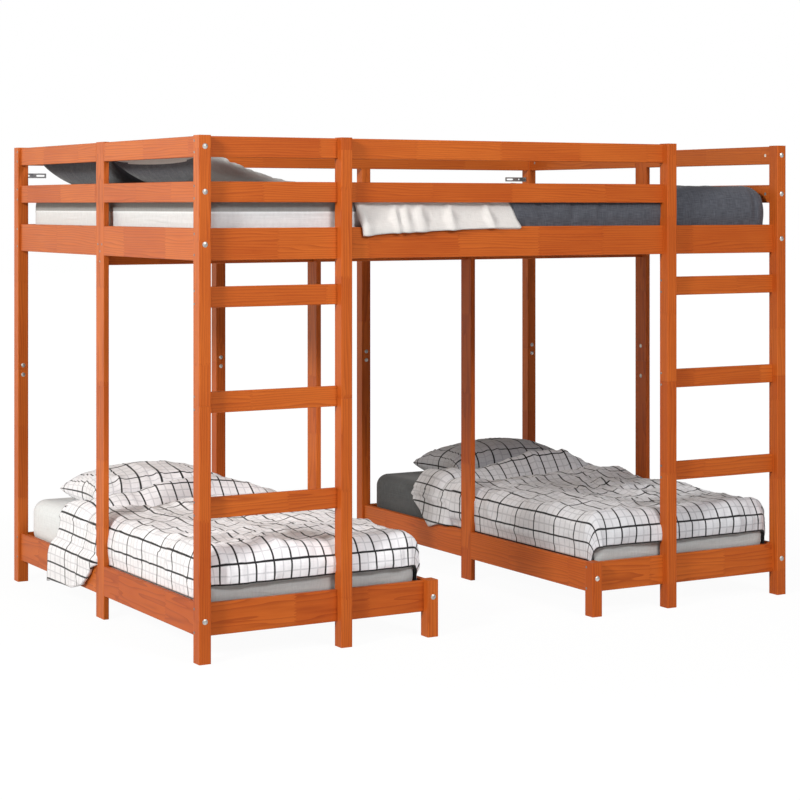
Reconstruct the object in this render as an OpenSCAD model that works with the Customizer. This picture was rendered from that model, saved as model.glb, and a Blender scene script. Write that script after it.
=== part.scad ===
// Bunk bed: one wide upper deck on posts over two single beds, with two built-in ladders.
// Sizes are millimetres. The origin is on the floor, under the middle of the frame.
// +X runs along the front from left to right, +Y runs from the ladders to the wall, +Z is up.

/* [Beds] */
// Width of each lower mattress
low_mattress_w = 700; // [600:10:900]
// Length of the upper mattress, along the front
deck_mattress_l = 2000; // [1900:10:2200]
// Front-to-back length of all the mattresses
mattress_l = 1400; // [1300:10:2000]
// Thickness of the mattresses
mattress_h = 150; // [120:5:180]
// Spare width between a lower mattress and its side rails
side_play = 12; // [8:1:24]
// Spare length between the mattresses and the front and back rails
end_play = 10; // [8:1:24]
// Spare length between the upper mattress and the end rails
deck_play = 26; // [10:1:40]

/* [Posts] */
// Width of a post, along the front
post_w = 36; // [32:1:50]
// Depth of a post, front to back
post_d = 42; // [38:1:60]
// Length of the lower half of a tall post
lower_half_h = 708; // [600:1:760]
// How far the tall posts stand above the top rails
post_over = 2; // [1:1:20]
// How far the short posts of the lower beds stand above their rails
short_post_over = 4; // [1:1:20]
// Rounding along the edges of the posts
post_round = 3; // [1:0.5:5]
// Width of the flat uprights halfway along the sides
stile_w = 64; // [50:1:90]

/* [Boards] */
// Thickness of the rails, rungs and flat uprights
board_t = 17; // [15:0.5:20]
// Height of the narrow boards: guard rails, rungs and the deck beam
rail_h = 58; // [48:1:64]
// Height of the deep boards that carry the mattresses
deep_rail_h = 90; // [80:1:96]
// Rounding along the edges of the boards
board_round = 2; // [1:0.5:4]
// How far the side rails stand in from the outer faces of the posts
side_recess = 9; // [6:0.5:12]
// Clear height under the rails of the lower beds
foot_clear = 72; // [50:1:90]
// Underside of the rails round the deck
deck_z = 1106; // [1080:1:1130]
// Gap between the deck rails and the middle guard rails
lower_guard_gap = 71; // [60:1:74]
// Gap between the middle and top guard rails
upper_guard_gap = 67; // [60:1:74]

/* [Ladders] */
// Outer width of each ladder, over its two posts
ladder_w = 478; // [380:1:560]
// Rungs of each ladder, evenly spaced between the foot rail and the middle guard rail
rungs = 3; // [2:1:4]

/* [Slats] */
// Width of a slat
slat_w = 60; // [45:1:80]
// Thickness of a slat
slat_t = 16; // [12:1:20]
// Slats under each lower mattress
bed_slats = 11; // [8:1:14]
// Slats under the upper mattress
deck_slats = 17; // [12:1:20]
// Side of the square strips that carry the slats
ledger = 20; // [16:1:24]
// Height of those strips above the underside of a lower bed's rails
ledger_rise = 22; // [12:1:30]
// How far the deck beam hangs below the deck rails
beam_drop = 30; // [20:1:40]

/* [Joints] */
// Diameter of the long bolts and threaded studs
bolt_d = 6; // [5:0.5:7]
// Diameter of the bolt heads
bolt_head_d = 15.7; // [12:0.1:17]
// Height of the domed heads of bolts and pin screws
head_h = 2.5; // [1.5:0.1:4]
// Diameter of the barrel nuts in the rails
barrel_d = 10; // [9:0.5:12]
// Distance of a barrel nut from the end of its rail
barrel_inset = 30; // [26:1:40]
// Wood left between a barrel nut and the outer face of its rail
barrel_wall = 3; // [2:0.5:5]
// Diameter of the wooden dowels
dowel_d = 8; // [6:0.5:8]
// Length of the wooden dowels
dowel_l = 36; // [24:1:40]
// Distance of the dowels from the upper and lower edges of a rail
dowel_edge = 11; // [8:0.5:13]
// Diameter of the steel pins that join the post halves
pin_d = 10; // [8:0.5:11]
// Length of the pins in the posts
post_pin_l = 100; // [80:1:140]
// Length of the pins in the flat uprights
stile_pin_l = 140; // [124:1:180]
// Distance of the pin screws from the splice in a post
post_screw_dz = 15.75; // [12:0.25:30]
// Distance of the pin screws from the splice in a flat upright
stile_screw_dz = 53; // [30:1:56]
// Diameter of the screws that hold the pins
pin_screw_d = 5; // [4:0.5:6]
// Diameter of the heads of those screws
pin_head_d = 14; // [10:0.5:16]

/* [Wall brackets] */
// Height of the steel strip
strap_h = 16; // [14:1:20]
// Thickness of the steel strip
strap_t = 2.5; // [2:0.1:4]
// Length of the leg along the wall
strap_l = 77; // [70:1:100]
// Length of the leg on the post
strap_foot_l = 30; // [26:1:36]
// Length of the slot, end to end
slot_l = 30; // [15:1:32]
// Width of the slot, and diameter of the round hole beside it
slot_w = 6.5; // [4:0.1:8]
// Distance of the slot from the free end of the leg
slot_margin = 5; // [4:0.5:10]
// Distance of the round hole from the post
wall_hole_inset = 15.7; // [10:0.1:18]
// Diameter of the two screw holes in the leg on the post
strap_screw_d = 4.2; // [3:0.1:6]

/* [Bedding] */
// How much smaller than its nominal size a mattress is, each way
mattress_slack = 10; // [6:1:16]
// Rounding along the edges of a mattress
mattress_round = 42; // [30:1:50]
// Height of a pillow that lies flat
pillow_h = 130; // [100:1:145]
// Height of such a pillow's seam
pillow_seam_h = 40; // [24:1:60]
// Width of a pillow on a lower bed
low_pillow_w = 510; // [440:5:580]
// Depth of a pillow on a lower bed
low_pillow_l = 300; // [260:5:340]
// Distance of that pillow from the head end of its mattress
pillow_to_head = 103; // [20:1:120]
// Depth of a pillow on the deck, along the front
deck_pillow_l = 410; // [360:5:440]
// Width of a pillow on the deck
deck_pillow_w = 610; // [560:5:680]
// How much higher the end of the deck holds up the outer seam of a pillow than the inner
pillow_lean = 88; // [0:1:100]
// Thickness of the quilts where they lie flat
quilt_t = 22; // [14:1:26]
// Height of the roll in the head end of a lower quilt, in front of the pillow
roll_h = 80; // [20:1:95]
// Length of a lower mattress that its quilt leaves bare, for the pillow
bare_head = 317; // [280:1:380]
// Height of the quilts' hems at the foot, above the undersides of the mattresses
foot_hem = 70; // [50:1:72]
// How far the loose corner of the left quilt hangs below the top of its rail
corner_drop = 114; // [60:1:120]
// Distance from the left ladder to the white fold of the upper quilt
fold_gap = 22; // [6:1:60]
// Length of the fold, along the front
fold_l = 565; // [400:5:700]
// How far the left end of the fold hangs below the top of the deck rail
fold_drop = 25; // [10:1:60]

/* [Hidden] */
$fn = 48;
clear = 0.3; // gap round soft pieces, and where an end stops short of its seat
slip = 0.15; // room all round a bolt, pin, dowel or nut in its hole
over = 1; // how far a cut runs past the face that it starts from

bed_w = low_mattress_w + side_play + 2 * (side_recess + board_t);
frame_w = deck_mattress_l + deck_play + 2 * (side_recess + board_t);
frame_l = mattress_l + end_play + 2 * post_d;
rail_y = post_d - board_t; // front face of the front rails
side_x = side_recess + board_t; // inner face of the side rails
side_mid_x = side_recess + board_t / 2;
mid_y = frame_l / 2;
stile_y = mid_y - stile_w / 2;
ladder_post_x = ladder_w - post_w;
short_post_x = bed_w - post_w;
left_x = post_w;
right_x = frame_w - post_w;
right_ladder_x = frame_w - ladder_w;

low_rail_top = foot_clear + deep_rail_h;
deck_rail_top = deck_z + deep_rail_h;
mid_rail_z = deck_rail_top + lower_guard_gap;
top_rail_z = mid_rail_z + rail_h + upper_guard_gap;
post_h = top_rail_z + rail_h + post_over;
short_post_h = low_rail_top + short_post_over;
rung_pitch = (mid_rail_z + rail_h - low_rail_top) / (rungs + 1);
beam_z = deck_z - beam_drop;
beam_top = beam_z + rail_h;
ledger_top = foot_clear + ledger_rise + ledger;
bed_top = ledger_top + slat_t;
deck_top = beam_top + slat_t;
barrel_l = board_t - barrel_wall;

// Underside and height of the rails at each level
FOOT = [foot_clear, deep_rail_h];
DECK = [deck_z, deep_rail_h];
MIDDLE = [mid_rail_z, rail_h];
TOP = [top_rail_z, rail_h];
LOW = [FOOT];
HIGH = [DECK, MIDDLE, TOP];
ALL = [FOOT, DECK, MIDDLE, TOP];
// Planes of side rails: [is it the inner side of a lower bed, its levels]
PLANES = [[false, ALL], [true, LOW]];

wood = "#c8713c";
slat_wood = "#d9a877";
steel = "#c9c9c6";
black_steel = "#4b4b4e";
white_cloth = "#ececee";
grey_cloth = "#b4b5b5";
dark_cloth = "#55565c";

function mix(a, b, s) = a + (b - a) * s;

// Works from the front left corner of the frame, or mirrored from the front right one.
module at_corner(right = false) {
    mirror([right ? 1 : 0, 0, 0]) translate([-frame_w / 2, -frame_l / 2, 0]) children();
}

// Mirrors front to back about the middle of the frame, inside at_corner().
module to_back(back) {
    translate([0, back ? frame_l : 0, 0]) mirror([0, back ? 1 : 0, 0]) children();
}

// Mirrors side to side about the middle of a lower bed, inside at_corner().
module to_inner(inner) {
    translate([inner ? bed_w : 0, 0, 0]) mirror([inner ? 1 : 0, 0, 0]) children();
}

module rounded_rect(w, h, r) {
    translate([r, 0]) square([w - 2 * r, h]);
    translate([0, r]) square([w, h - 2 * r]);
    for (x = [r, w - r], y = [r, h - r]) translate([x, y]) circle(r);
}

module upright(w, d, h, r) {
    linear_extrude(h) rounded_rect(w, d, r);
}

module board_along_x(l, t, h) {
    rotate([90, 0, 90]) linear_extrude(l) rounded_rect(t, h, board_round);
}

module board_along_y(l, t, h) {
    translate([0, l, 0]) rotate([90, 0, 0]) linear_extrude(l) rounded_rect(t, h, board_round);
}

module rod_x(d, l) {
    rotate([0, 90, 0]) cylinder(d = d, h = l);
}

module rod_y(d, l) {
    rotate([-90, 0, 0]) cylinder(d = d, h = l);
}

// Height of a rail's middle, and of its two dowels above and below that.
function level_mid(level) = level[0] + level[1] / 2;
function dowel_dz(level) = level[1] / 2 - dowel_edge;

// All that is drilled in one end of a side rail; the end face is at y = 0.
module rail_end_drilling(level) {
    translate([side_mid_x, 0, level_mid(level)]) {
        translate([0, -over, 0])
            rod_y(bolt_d + 2 * slip, over + barrel_inset + barrel_d / 2 + clear);
        for (side = [-1, 1]) translate([0, -over, side * dowel_dz(level)])
            rod_y(dowel_d + 2 * slip, over + dowel_l / 2 + clear);
    }
    translate([side_x - barrel_l - slip, barrel_inset, level_mid(level)])
        rod_x(barrel_d + 2 * slip, barrel_l + slip + over);
}

// Bolt holes through a post, and the dowel holes in its back, for the side rails behind it.
module post_drilling(levels) {
    for (level = levels) translate([side_mid_x, 0, level_mid(level)]) {
        translate([0, -over, 0]) rod_y(bolt_d + 2 * slip, post_d + 2 * over);
        for (side = [-1, 1])
            translate([0, post_d - dowel_l / 2 - clear, side * dowel_dz(level)])
                rod_y(dowel_d + 2 * slip, dowel_l / 2 + clear + over);
    }
}

// Pin hole and its two screw holes, round the splice of a post.
module post_splice_drilling() {
    translate([post_w / 2, post_d / 2, lower_half_h]) {
        translate([0, 0, -post_pin_l / 2 - clear])
            cylinder(d = pin_d + 2 * slip, h = post_pin_l + 2 * clear);
        for (side = [-1, 1]) translate([0, -pin_d / 2, side * post_screw_dz])
            rod_y(pin_screw_d + 2 * slip, pin_d / 2 + post_d / 2 + over);
    }
}

// Both halves of a spliced upright, each with the cuts that are given as children.
module spliced_upright(w, d, r) {
    for (upper = [false, true]) difference() {
        translate([0, 0, upper ? lower_half_h + clear : 0])
            upright(w, d, upper ? post_h - lower_half_h - clear : lower_half_h, r);
        children();
    }
}

// Notch in the back of a post for a rail that runs past it.
module rail_notch(level) {
    translate([-over, rail_y, level[0]]) cube([post_w + 2 * over, board_t + over, level[1]]);
}

// A tall post, with notches for the rails that run past it and side rails bolted on behind.
module tall_post(notches = [], bolts = []) {
    color(wood) spliced_upright(post_w, post_d, post_round) {
        for (level = notches) rail_notch(level);
        post_drilling(bolts);
        post_splice_drilling();
    }
}

module corner_post(right, back) {
    at_corner(right) to_back(back) tall_post(bolts = ALL);
}

module ladder_post(right, notches) {
    at_corner(right) translate([ladder_post_x, 0, 0]) tall_post(notches = notches);
}

module inner_back_post(right) {
    at_corner(right) to_back(true) to_inner(true) tall_post(notches = HIGH, bolts = LOW);
}

module short_post(right) {
    color(wood) at_corner(right) to_inner(true) difference() {
        upright(post_w, post_d, short_post_h, post_round);
        post_drilling(LOW);
    }
}

// Stud hole and dowel holes through a flat upright, where side rails meet both its edges.
module stile_drilling(levels) {
    for (level = levels) translate([side_mid_x, stile_y, level_mid(level)]) {
        translate([0, -over, 0]) rod_y(bolt_d + 2 * slip, stile_w + 2 * over);
        for (side = [-1, 1]) translate([0, 0, side * dowel_dz(level)]) {
            translate([0, -over, 0]) rod_y(dowel_d + 2 * slip, dowel_l / 2 + clear + over);
            translate([0, stile_w - dowel_l / 2 - clear, 0])
                rod_y(dowel_d + 2 * slip, dowel_l / 2 + clear + over);
        }
    }
}

module stile_splice_drilling() {
    translate([side_mid_x, mid_y, lower_half_h]) {
        translate([0, 0, -stile_pin_l / 2 - clear])
            cylinder(d = pin_d + 2 * slip, h = stile_pin_l + 2 * clear);
        for (side = [-1, 1]) translate([-pin_d / 2, 0, side * stile_screw_dz])
            rod_x(pin_screw_d + 2 * slip, pin_d / 2 + board_t / 2 + over);
    }
}

// Full-height flat upright, in the plane of the outer side rails.
module outer_stile(right) {
    color(wood) at_corner(right) translate([side_recess, stile_y, 0])
        spliced_upright(board_t, stile_w, board_round)
            translate([-side_recess, -stile_y, 0]) {
                stile_drilling(ALL);
                stile_splice_drilling();
            }
}

// Flat upright on a lower bed's inner side; its forked top carries the deck beam.
module beam_stile(right) {
    color(wood) at_corner(right) to_inner(true) difference() {
        translate([side_recess, stile_y, 0])
            upright(board_t, stile_w, beam_top - clear, board_round);
        stile_drilling(LOW);
        translate([side_recess - over, mid_y - board_t / 2 - slip, beam_z])
            cube([board_t + 2 * over, board_t + 2 * slip, rail_h + over]);
    }
}

// Board in the front or back plane, between two places along the front.
module cross_board(from_x, to_x, level, back = false, right = false) {
    color(wood) at_corner(right) to_back(back) translate([from_x, rail_y, level[0]])
        board_along_x(to_x - from_x, board_t, level[1]);
}

// The two boards of a side, before and behind the flat upright, at each level.
module side_boards(levels) {
    bay = stile_y - post_d;
    color(wood) for (back = [false, true], level = levels) to_back(back) difference() {
        translate([side_recess, post_d, level[0]]) board_along_y(bay, board_t, level[1]);
        translate([0, post_d, 0]) rail_end_drilling(level);
        translate([0, stile_y, 0]) mirror([0, 1, 0]) rail_end_drilling(level);
    }
}

module ladder_rungs(right) {
    color(wood) at_corner(right) for (i = [1 : rungs])
        translate([post_w, rail_y, low_rail_top + i * rung_pitch - rail_h])
            board_along_x(ladder_post_x - post_w, board_t, rail_h);
}

module deck_beam() {
    color(wood) at_corner() translate([side_x, mid_y - board_t / 2, beam_z])
        board_along_x(frame_w - 2 * side_x, board_t, rail_h);
}

// Strips on the inner faces of the front and back deck rails.
module deck_ledgers() {
    color(slat_wood) at_corner() for (back = [false, true]) to_back(back)
        translate([side_x + clear, post_d, beam_top - ledger])
            board_along_x(frame_w - 2 * (side_x + clear), ledger, ledger);
}

// Strips on the inner faces of the side rails of the lower beds.
module bed_ledgers() {
    color(slat_wood) for (right = [false, true], inner = [false, true])
        at_corner(right) to_inner(inner)
            translate([side_x, post_d + clear, ledger_top - ledger])
                board_along_y(frame_l - 2 * (post_d + clear), ledger, ledger);
}

module deck_slats() {
    pitch = (frame_w - 2 * side_x) / deck_slats;
    color(slat_wood) at_corner() for (i = [0 : deck_slats - 1])
        translate([side_x + (i + 0.5) * pitch - slat_w / 2, post_d + clear, beam_top])
            board_along_y(frame_l - 2 * (post_d + clear), slat_w, slat_t);
}

module lower_slats(right) {
    pitch = (frame_l - 2 * post_d) / bed_slats;
    color(slat_wood) at_corner(right) for (i = [0 : bed_slats - 1])
        translate([side_x + clear, post_d + (i + 0.5) * pitch - slat_w / 2, ledger_top])
            board_along_x(bed_w - 2 * (side_x + clear), slat_w, slat_t);
}

// Repeats its children in the outer side planes of both halves, or in the inner ones.
module in_side_planes(inner) {
    for (right = [false, true]) at_corner(right) to_inner(inner) children();
}

// Domed head with a hexagon socket; its flat face is at y = 0 and its dome points to -Y.
module domed_head(d) {
    dome_r = (d * d / 4 + head_h * head_h) / (2 * head_h);
    socket_d = d * 0.32;
    difference() {
        intersection() {
            translate([0, -head_h, 0]) rod_y(d, head_h);
            translate([0, dome_r - head_h, 0]) sphere(dome_r);
        }
        translate([0, -head_h - over, 0]) rotate([-90, 0, 0])
            cylinder(d = socket_d, h = over + head_h * 0.6, $fn = 6);
    }
}

module frame_bolts() {
    color(steel) for (plane = PLANES, level = plane[1], back = [false, true])
        in_side_planes(plane[0]) to_back(back) translate([side_mid_x, 0, level_mid(level)]) {
            domed_head(bolt_head_d);
            rod_y(bolt_d, post_d + barrel_inset + barrel_d / 2);
        }
}

module stile_studs() {
    reach = stile_w / 2 + barrel_inset + barrel_d / 2;
    color(steel) for (plane = PLANES, level = plane[1]) in_side_planes(plane[0])
        translate([side_mid_x, mid_y - reach, level_mid(level)]) rod_y(bolt_d, 2 * reach);
}

module barrel_nuts() {
    places = [post_d + barrel_inset, stile_y - barrel_inset];
    color(steel) for (plane = PLANES, level = plane[1], back = [false, true], y = places)
        in_side_planes(plane[0]) to_back(back)
            translate([side_x - barrel_l, y, level_mid(level)]) difference() {
                rod_x(barrel_d, barrel_l);
                translate([side_mid_x - side_x + barrel_l, -barrel_d, 0])
                    rod_y(bolt_d + 2 * slip, 2 * barrel_d);
            }
}

module rail_dowels() {
    ends = [post_d, stile_y];
    color(slat_wood)
        for (plane = PLANES, level = plane[1], back = [false, true], y = ends, side = [-1, 1])
            in_side_planes(plane[0]) to_back(back)
                translate([side_mid_x, y - dowel_l / 2, level_mid(level) + side * dowel_dz(level)])
                    rod_y(dowel_d, dowel_l);
}

// The four tall posts of a half: [left edge along the front, is it at the back].
function tall_posts() = [
    [0, false], [ladder_post_x, false], [0, true], [short_post_x, true]
];

// Steel pin with two cross holes, which run along Y when turn is 0.
module splice_pin(l, screw_dz, turn) {
    difference() {
        translate([0, 0, -l / 2]) cylinder(d = pin_d, h = l);
        for (side = [-1, 1]) translate([0, 0, side * screw_dz]) rotate([0, 0, turn])
            translate([0, -pin_d, 0]) rod_y(pin_screw_d + 2 * slip, 2 * pin_d);
    }
}

module splice_pins() {
    color(steel) for (right = [false, true]) at_corner(right) {
        for (post = tall_posts()) to_back(post[1])
            translate([post[0] + post_w / 2, post_d / 2, lower_half_h])
                splice_pin(post_pin_l, post_screw_dz, 0);
        translate([side_mid_x, mid_y, lower_half_h])
            splice_pin(stile_pin_l, stile_screw_dz, 90);
    }
}

// Screw through a pin, its head on the surface at y = 0 and its shank towards +Y.
module pin_screw(pin_depth) {
    domed_head(pin_head_d);
    rod_y(pin_screw_d, pin_depth + pin_d / 2 - clear);
}

// These screws go in from the faces towards the middle of the bed.
module splice_screws() {
    color(steel) for (right = [false, true], side = [-1, 1]) at_corner(right) {
        for (post = tall_posts()) to_back(post[1])
            translate([post[0] + post_w / 2, post_d, lower_half_h + side * post_screw_dz])
                mirror([0, 1, 0]) pin_screw(post_d / 2);
        translate([side_x, mid_y, lower_half_h + side * stile_screw_dz])
            rotate([0, 0, 90]) pin_screw(board_t / 2);
    }
}

// L-shaped strap: one leg on the inner side of a post, the slotted one flat on the wall.
module wall_bracket() {
    slot_x = strap_l - slot_margin - slot_l;
    screw_ys = [strap_foot_l * 0.27, strap_foot_l * 0.67];
    difference() {
        union() {
            translate([0, frame_l - strap_t, 0]) cube([strap_l, strap_t, strap_h]);
            translate([0, frame_l - strap_foot_l, 0]) cube([strap_t, strap_foot_l, strap_h]);
        }
        translate([0, frame_l - strap_t - over, strap_h / 2]) {
            translate([wall_hole_inset, 0, 0]) rod_y(slot_w, strap_t + 2 * over);
            translate([slot_x + slot_w / 2, 0, 0]) rod_y(slot_w, strap_t + 2 * over);
            translate([slot_x + slot_l - slot_w / 2, 0, 0]) rod_y(slot_w, strap_t + 2 * over);
            translate([slot_x + slot_w / 2, 0, -slot_w / 2])
                cube([slot_l - slot_w, strap_t + 2 * over, slot_w]);
        }
        for (y = screw_ys) translate([-over, frame_l - strap_foot_l + y, strap_h / 2])
            rod_x(strap_screw_d, strap_t + 2 * over);
    }
}

module wall_brackets() {
    gap_mid = mid_rail_z + rail_h + upper_guard_gap / 2;
    color(black_steel) for (right = [false, true]) at_corner(right)
        translate([post_w, 0, gap_mid - strap_h / 2]) wall_bracket();
}

// True sizes of the mattresses, and the narrow gaps beside them that the quilts fall into
low_w = low_mattress_w - mattress_slack;
deck_l = deck_mattress_l - mattress_slack;
all_l = mattress_l - mattress_slack;
low_gap = (side_play + mattress_slack) / 2;
end_gap = (end_play + mattress_slack) / 2;
deck_gap = (deck_play + mattress_slack) / 2;

// Rounded rectangle about its centre as points, n to a corner.
function outline(w, l, r, n) = [
    for (corner = [0 : 3], i = [0 : n - 1])
        let (a = corner * 90 + i * 90 / (n - 1),
             cx = (corner == 0 || corner == 3 ? 1 : -1) * (w / 2 - r),
             cy = (corner < 2 ? 1 : -1) * (l / 2 - r))
        [cx + r * cos(a), cy + r * sin(a)]
];

// Triangles between rings of n points, from the lowest ring up, with both ends closed.
function ring_faces(rings, n) = concat(
    [for (k = [0 : rings - 2], i = [0 : n - 1]) each [
        [k * n + i, (k + 1) * n + i, (k + 1) * n + (i + 1) % n],
        [k * n + i, (k + 1) * n + (i + 1) % n, k * n + (i + 1) % n]
    ]],
    [for (i = [1 : n - 2]) [0, i, i + 1]],
    [for (i = [1 : n - 2]) let (b = (rings - 1) * n) [b, b + i + 1, b + i]]
);

// How much lower the rim of a mattress is than its middle, and its height a distance d in.
mattress_dip = 3;
function mattress_top(d, shorter) = mattress_h - mattress_dip
    * lookup(d, [[mattress_round, 1], [shorter * 0.2, 0.3], [shorter * 0.4, 0]]);

// Mattress with rounded edges and a slight crown; its lowest corner is at the origin.
module mattress(w, l) {
    n = 5;
    plan_r = 70;
    steps = [0 : 30 : 90];
    shorter = min(w, l);
    rings = concat(
        [for (a = steps) [mattress_round * (1 - sin(a)), mattress_round * (1 - cos(a))]],
        [for (a = steps) [mattress_round * (1 - cos(a)),
                          mattress_h - mattress_dip - mattress_round * (1 - sin(a))]],
        [for (d = [shorter * 0.2, shorter * 0.4]) [d, mattress_top(d, shorter)]]
    );
    points = [for (ring = rings, p = outline(w - 2 * ring[0], l - 2 * ring[0],
                                             max(5, plan_r - ring[0]), n))
              [w / 2 + p[0], l / 2 + p[1], ring[1]]];
    polyhedron(points, ring_faces(len(rings), 4 * n));
}

// Pillow on z = 0: a high crown, sides drawn in between pointed corners, a flat underside.
// belly is its height above the seam, and seams gives the seam's heights at -X and at +X.
// The greater flat is, the more of the underside lies flat.
module pillow(w, l, belly, seams, flat) {
    n = 10;
    m = n + 1;
    pull = 0.1;
    share = [for (i = [0 : n]) -cos(i * 180 / n)];
    function seam(a) = mix(seams[1], seams[0], pow((1 - a) / 2, 1.5));
    function swell(a, b) = pow(max(0, (1 - a * a) * (1 - b * b)), 0.4);
    function place(a, b) = [w / 2 * (1 + a * (1 - pull * (1 - b * b))),
                            l / 2 * (1 + b * (1 - pull * (1 - a * a)))];
    upper = [for (a = share, b = share)
             concat(place(a, b), [seam(a) + belly * swell(a, b)])];
    lower = [for (a = share, b = share)
             concat(place(a, b), [seam(a) * max(0, 1 - flat * swell(a, b))])];
    // the two skins share the points of the seam
    function on_seam(i, j) = i == 0 || j == 0 || i == n || j == n;
    function up_id(i, j) = i * m + j;
    function low_id(i, j) = i * m + j + (on_seam(i, j) ? 0 : m * m);
    // the diagonal of a cell points away from the nearest corner of the pillow
    function cell(a, b, c, d, i, j) = (i < n / 2) == (j < n / 2) ? [[a, b, c], [a, c, d]]
                                                                 : [[a, b, d], [b, c, d]];
    faces = [for (i = [0 : n - 1], j = [0 : n - 1]) each concat(
        cell(up_id(i, j), up_id(i, j + 1), up_id(i + 1, j + 1), up_id(i + 1, j), i, j),
        [for (f = cell(low_id(i, j), low_id(i, j + 1), low_id(i + 1, j + 1), low_id(i + 1, j),
                       i, j)) [f[0], f[2], f[1]]]
    )];
    polyhedron(concat(upper, lower), faces);
}

// Closed skin between two grids of nu by nv points, joined all round the rim.
module skin(outer, inner, nu, nv) {
    b = nu * nv;
    function id(i, j) = i * nv + j;
    rim = concat([for (j = [0 : nv - 1]) id(0, j)], [for (i = [1 : nu - 1]) id(i, nv - 1)],
                 [for (j = [nv - 2 : -1 : 0]) id(nu - 1, j)],
                 [for (i = [nu - 2 : -1 : 1]) id(i, 0)]);
    n = len(rim);
    faces = concat(
        [for (i = [0 : nu - 2], j = [0 : nv - 2]) each [
            [id(i, j), id(i + 1, j + 1), id(i, j + 1)],
            [id(i, j), id(i + 1, j), id(i + 1, j + 1)],
            [b + id(i, j), b + id(i, j + 1), b + id(i + 1, j + 1)],
            [b + id(i, j), b + id(i + 1, j + 1), b + id(i + 1, j)]
        ]],
        [for (k = [0 : n - 1]) let (next = rim[(k + 1) % n]) each [
            [rim[k], next, b + next],
            [rim[k], b + next, b + rim[k]]
        ]]
    );
    polyhedron(concat(outer, inner), faces);
}

// Quilt on a mattress of width w, whose foot end is at y = 0 and underside at z = 0.
// Each station is [y, does it hang over the rail on the -X side, height of that hem].
// foot is the quilt's thickness in front of the foot end, or 0 where it doesn't reach it.
// roll is the height of the roll across the head end, and beside it the -X edge of the quilt
// runs on by ear. The roll is highest towards +X.
module quilt(w, stations, side_t, side_hem, rail_gap, rail_top, foot = 0, pleat = 0, roll = 0,
             ear = 0) {
    edge_z = mattress_h - mattress_round;
    lift = edge_z - rail_top;
    cheek = 8; // thickness of the part that hangs outside the rail
    ruck = 3; // height of the soft waves on top
    rail_out = rail_gap + board_t + clear;

    // One side of the section, hem first, for the inner (s = 0) or outer (s = 1) face.
    function tucked(s) = [for (k = [0 : 5])
        [-clear - s * side_t, mix(side_hem, edge_z, pow(k / 5, 1.6))]];
    function hung(s, hem, wave) = let (top = rail_top + 4 * clear + s * 2) [
        [-rail_out - wave - s * cheek, hem],
        [-rail_out - wave - s * cheek, mix(hem, top, 0.5)],
        [-rail_out - s * (cheek + wave), top],
        [-rail_gap - board_t * 0.3 - s * cheek * 1.2, top + 1 + s * lift * 0.25],
        [-rail_gap * 0.6 - s * side_t * 0.35, rail_top + lift * (0.5 + s * 0.1)],
        [-clear - s * side_t, edge_z]
    ];
    function edge(s) = [for (a = [30, 60, 90])
        [mattress_round - (mattress_round + clear + s * side_t) * cos(a),
         edge_z + (mattress_round + clear + s * quilt_t) * sin(a)]];
    columns = roll > 0 ? [0.085, 0.2, 0.35, 0.5, 0.65, 0.78, 0.885] : [0.2, 0.4, 0.6, 0.8];
    function across(s, y) = [for (a = columns)
        [w * a, mattress_h + clear + s * (quilt_t + ruck * sin(y * 1.1 + a * 500))]];
    function mirrored(list) = [for (k = [len(list) - 1 : -1 : 0]) [w - list[k][0], list[k][1]]];
    function section(s, station) =
        let (wave = pleat * (1 + sin(station[0] * 2.6)) / 2,
             left = station[1] ? hung(s, station[2], wave) : tucked(s))
        concat(left, edge(s), across(s, station[0]), mirrored(edge(s)), mirrored(tucked(s)));

    // Round the foot end: [y, height into which the whole section is squeezed].
    function foot_line(s) = concat(
        [for (k = [0, 0.5]) [-clear - s * foot, mix(foot_hem, edge_z, k)]],
        [for (a = [0, 30, 60])
            [mattress_round - (mattress_round + clear + s * foot) * cos(a),
             edge_z + (mattress_round + clear + s * quilt_t) * sin(a)]]
    );
    function squeezed(z, top, s) =
        let (full = mattress_h + clear + s * quilt_t, hem = side_hem - (full - top) * 0.1)
        hem + (z - side_hem) * (top - hem) / (full - side_hem);
    // On the sides these rows spread out between the corner and the first station.
    function foot_row(s, i) =
        let (f = foot_line(s)[i], side_y = mix(-clear - s * foot, mattress_round, i / 5),
             row = section(s, [mattress_round, false]))
        [for (j = [0 : nv - 1])
            let (turn = min(1, max(0, (min(j, nv - 1 - j) - 5) / 3)))
            [row[j][0], mix(side_y, f[0], turn), squeezed(row[j][1], f[1], s)]];
    // The roll and the ear, both measured from the quilt's head end.
    head = stations[len(stations) - 1][0];
    function raised(x, y) = roll * lookup(head - y, roll_profile)
        * sin(180 * pow(min(1, max(0, x / w)), 1.5));
    function drawn_out(x, y) = ear * min(1, max(0, (y - head) / ear_from + 1))
        * min(1, max(0, (ear_x[1] - x) / (ear_x[1] - ear_x[0])));
    function grid(s) = concat(
        [for (i = foot > 0 ? [0 : 4] : []) each foot_row(s, i)],
        [for (station = stations, p = section(s, station))
            [p[0], station[0] + drawn_out(p[0], station[0]),
             p[1] + s * raised(p[0], station[0])]]
    );
    nv = len(section(0, stations[0]));
    skin(grid(1), grid(0), len(grid(0)) / nv, nv);
}

// Height of the roll, as a share, at distances from the head end of the quilt.
roll_profile = [[0, 0.7], [22, 1], [48, 0.9], [75, 0.45], [100, 0]];
ear_from = 150; // length over which the -X edge runs on, measured from the head end
ear_x = [20, 55]; // the ear has its full length up to the first, and ends at the second

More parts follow.
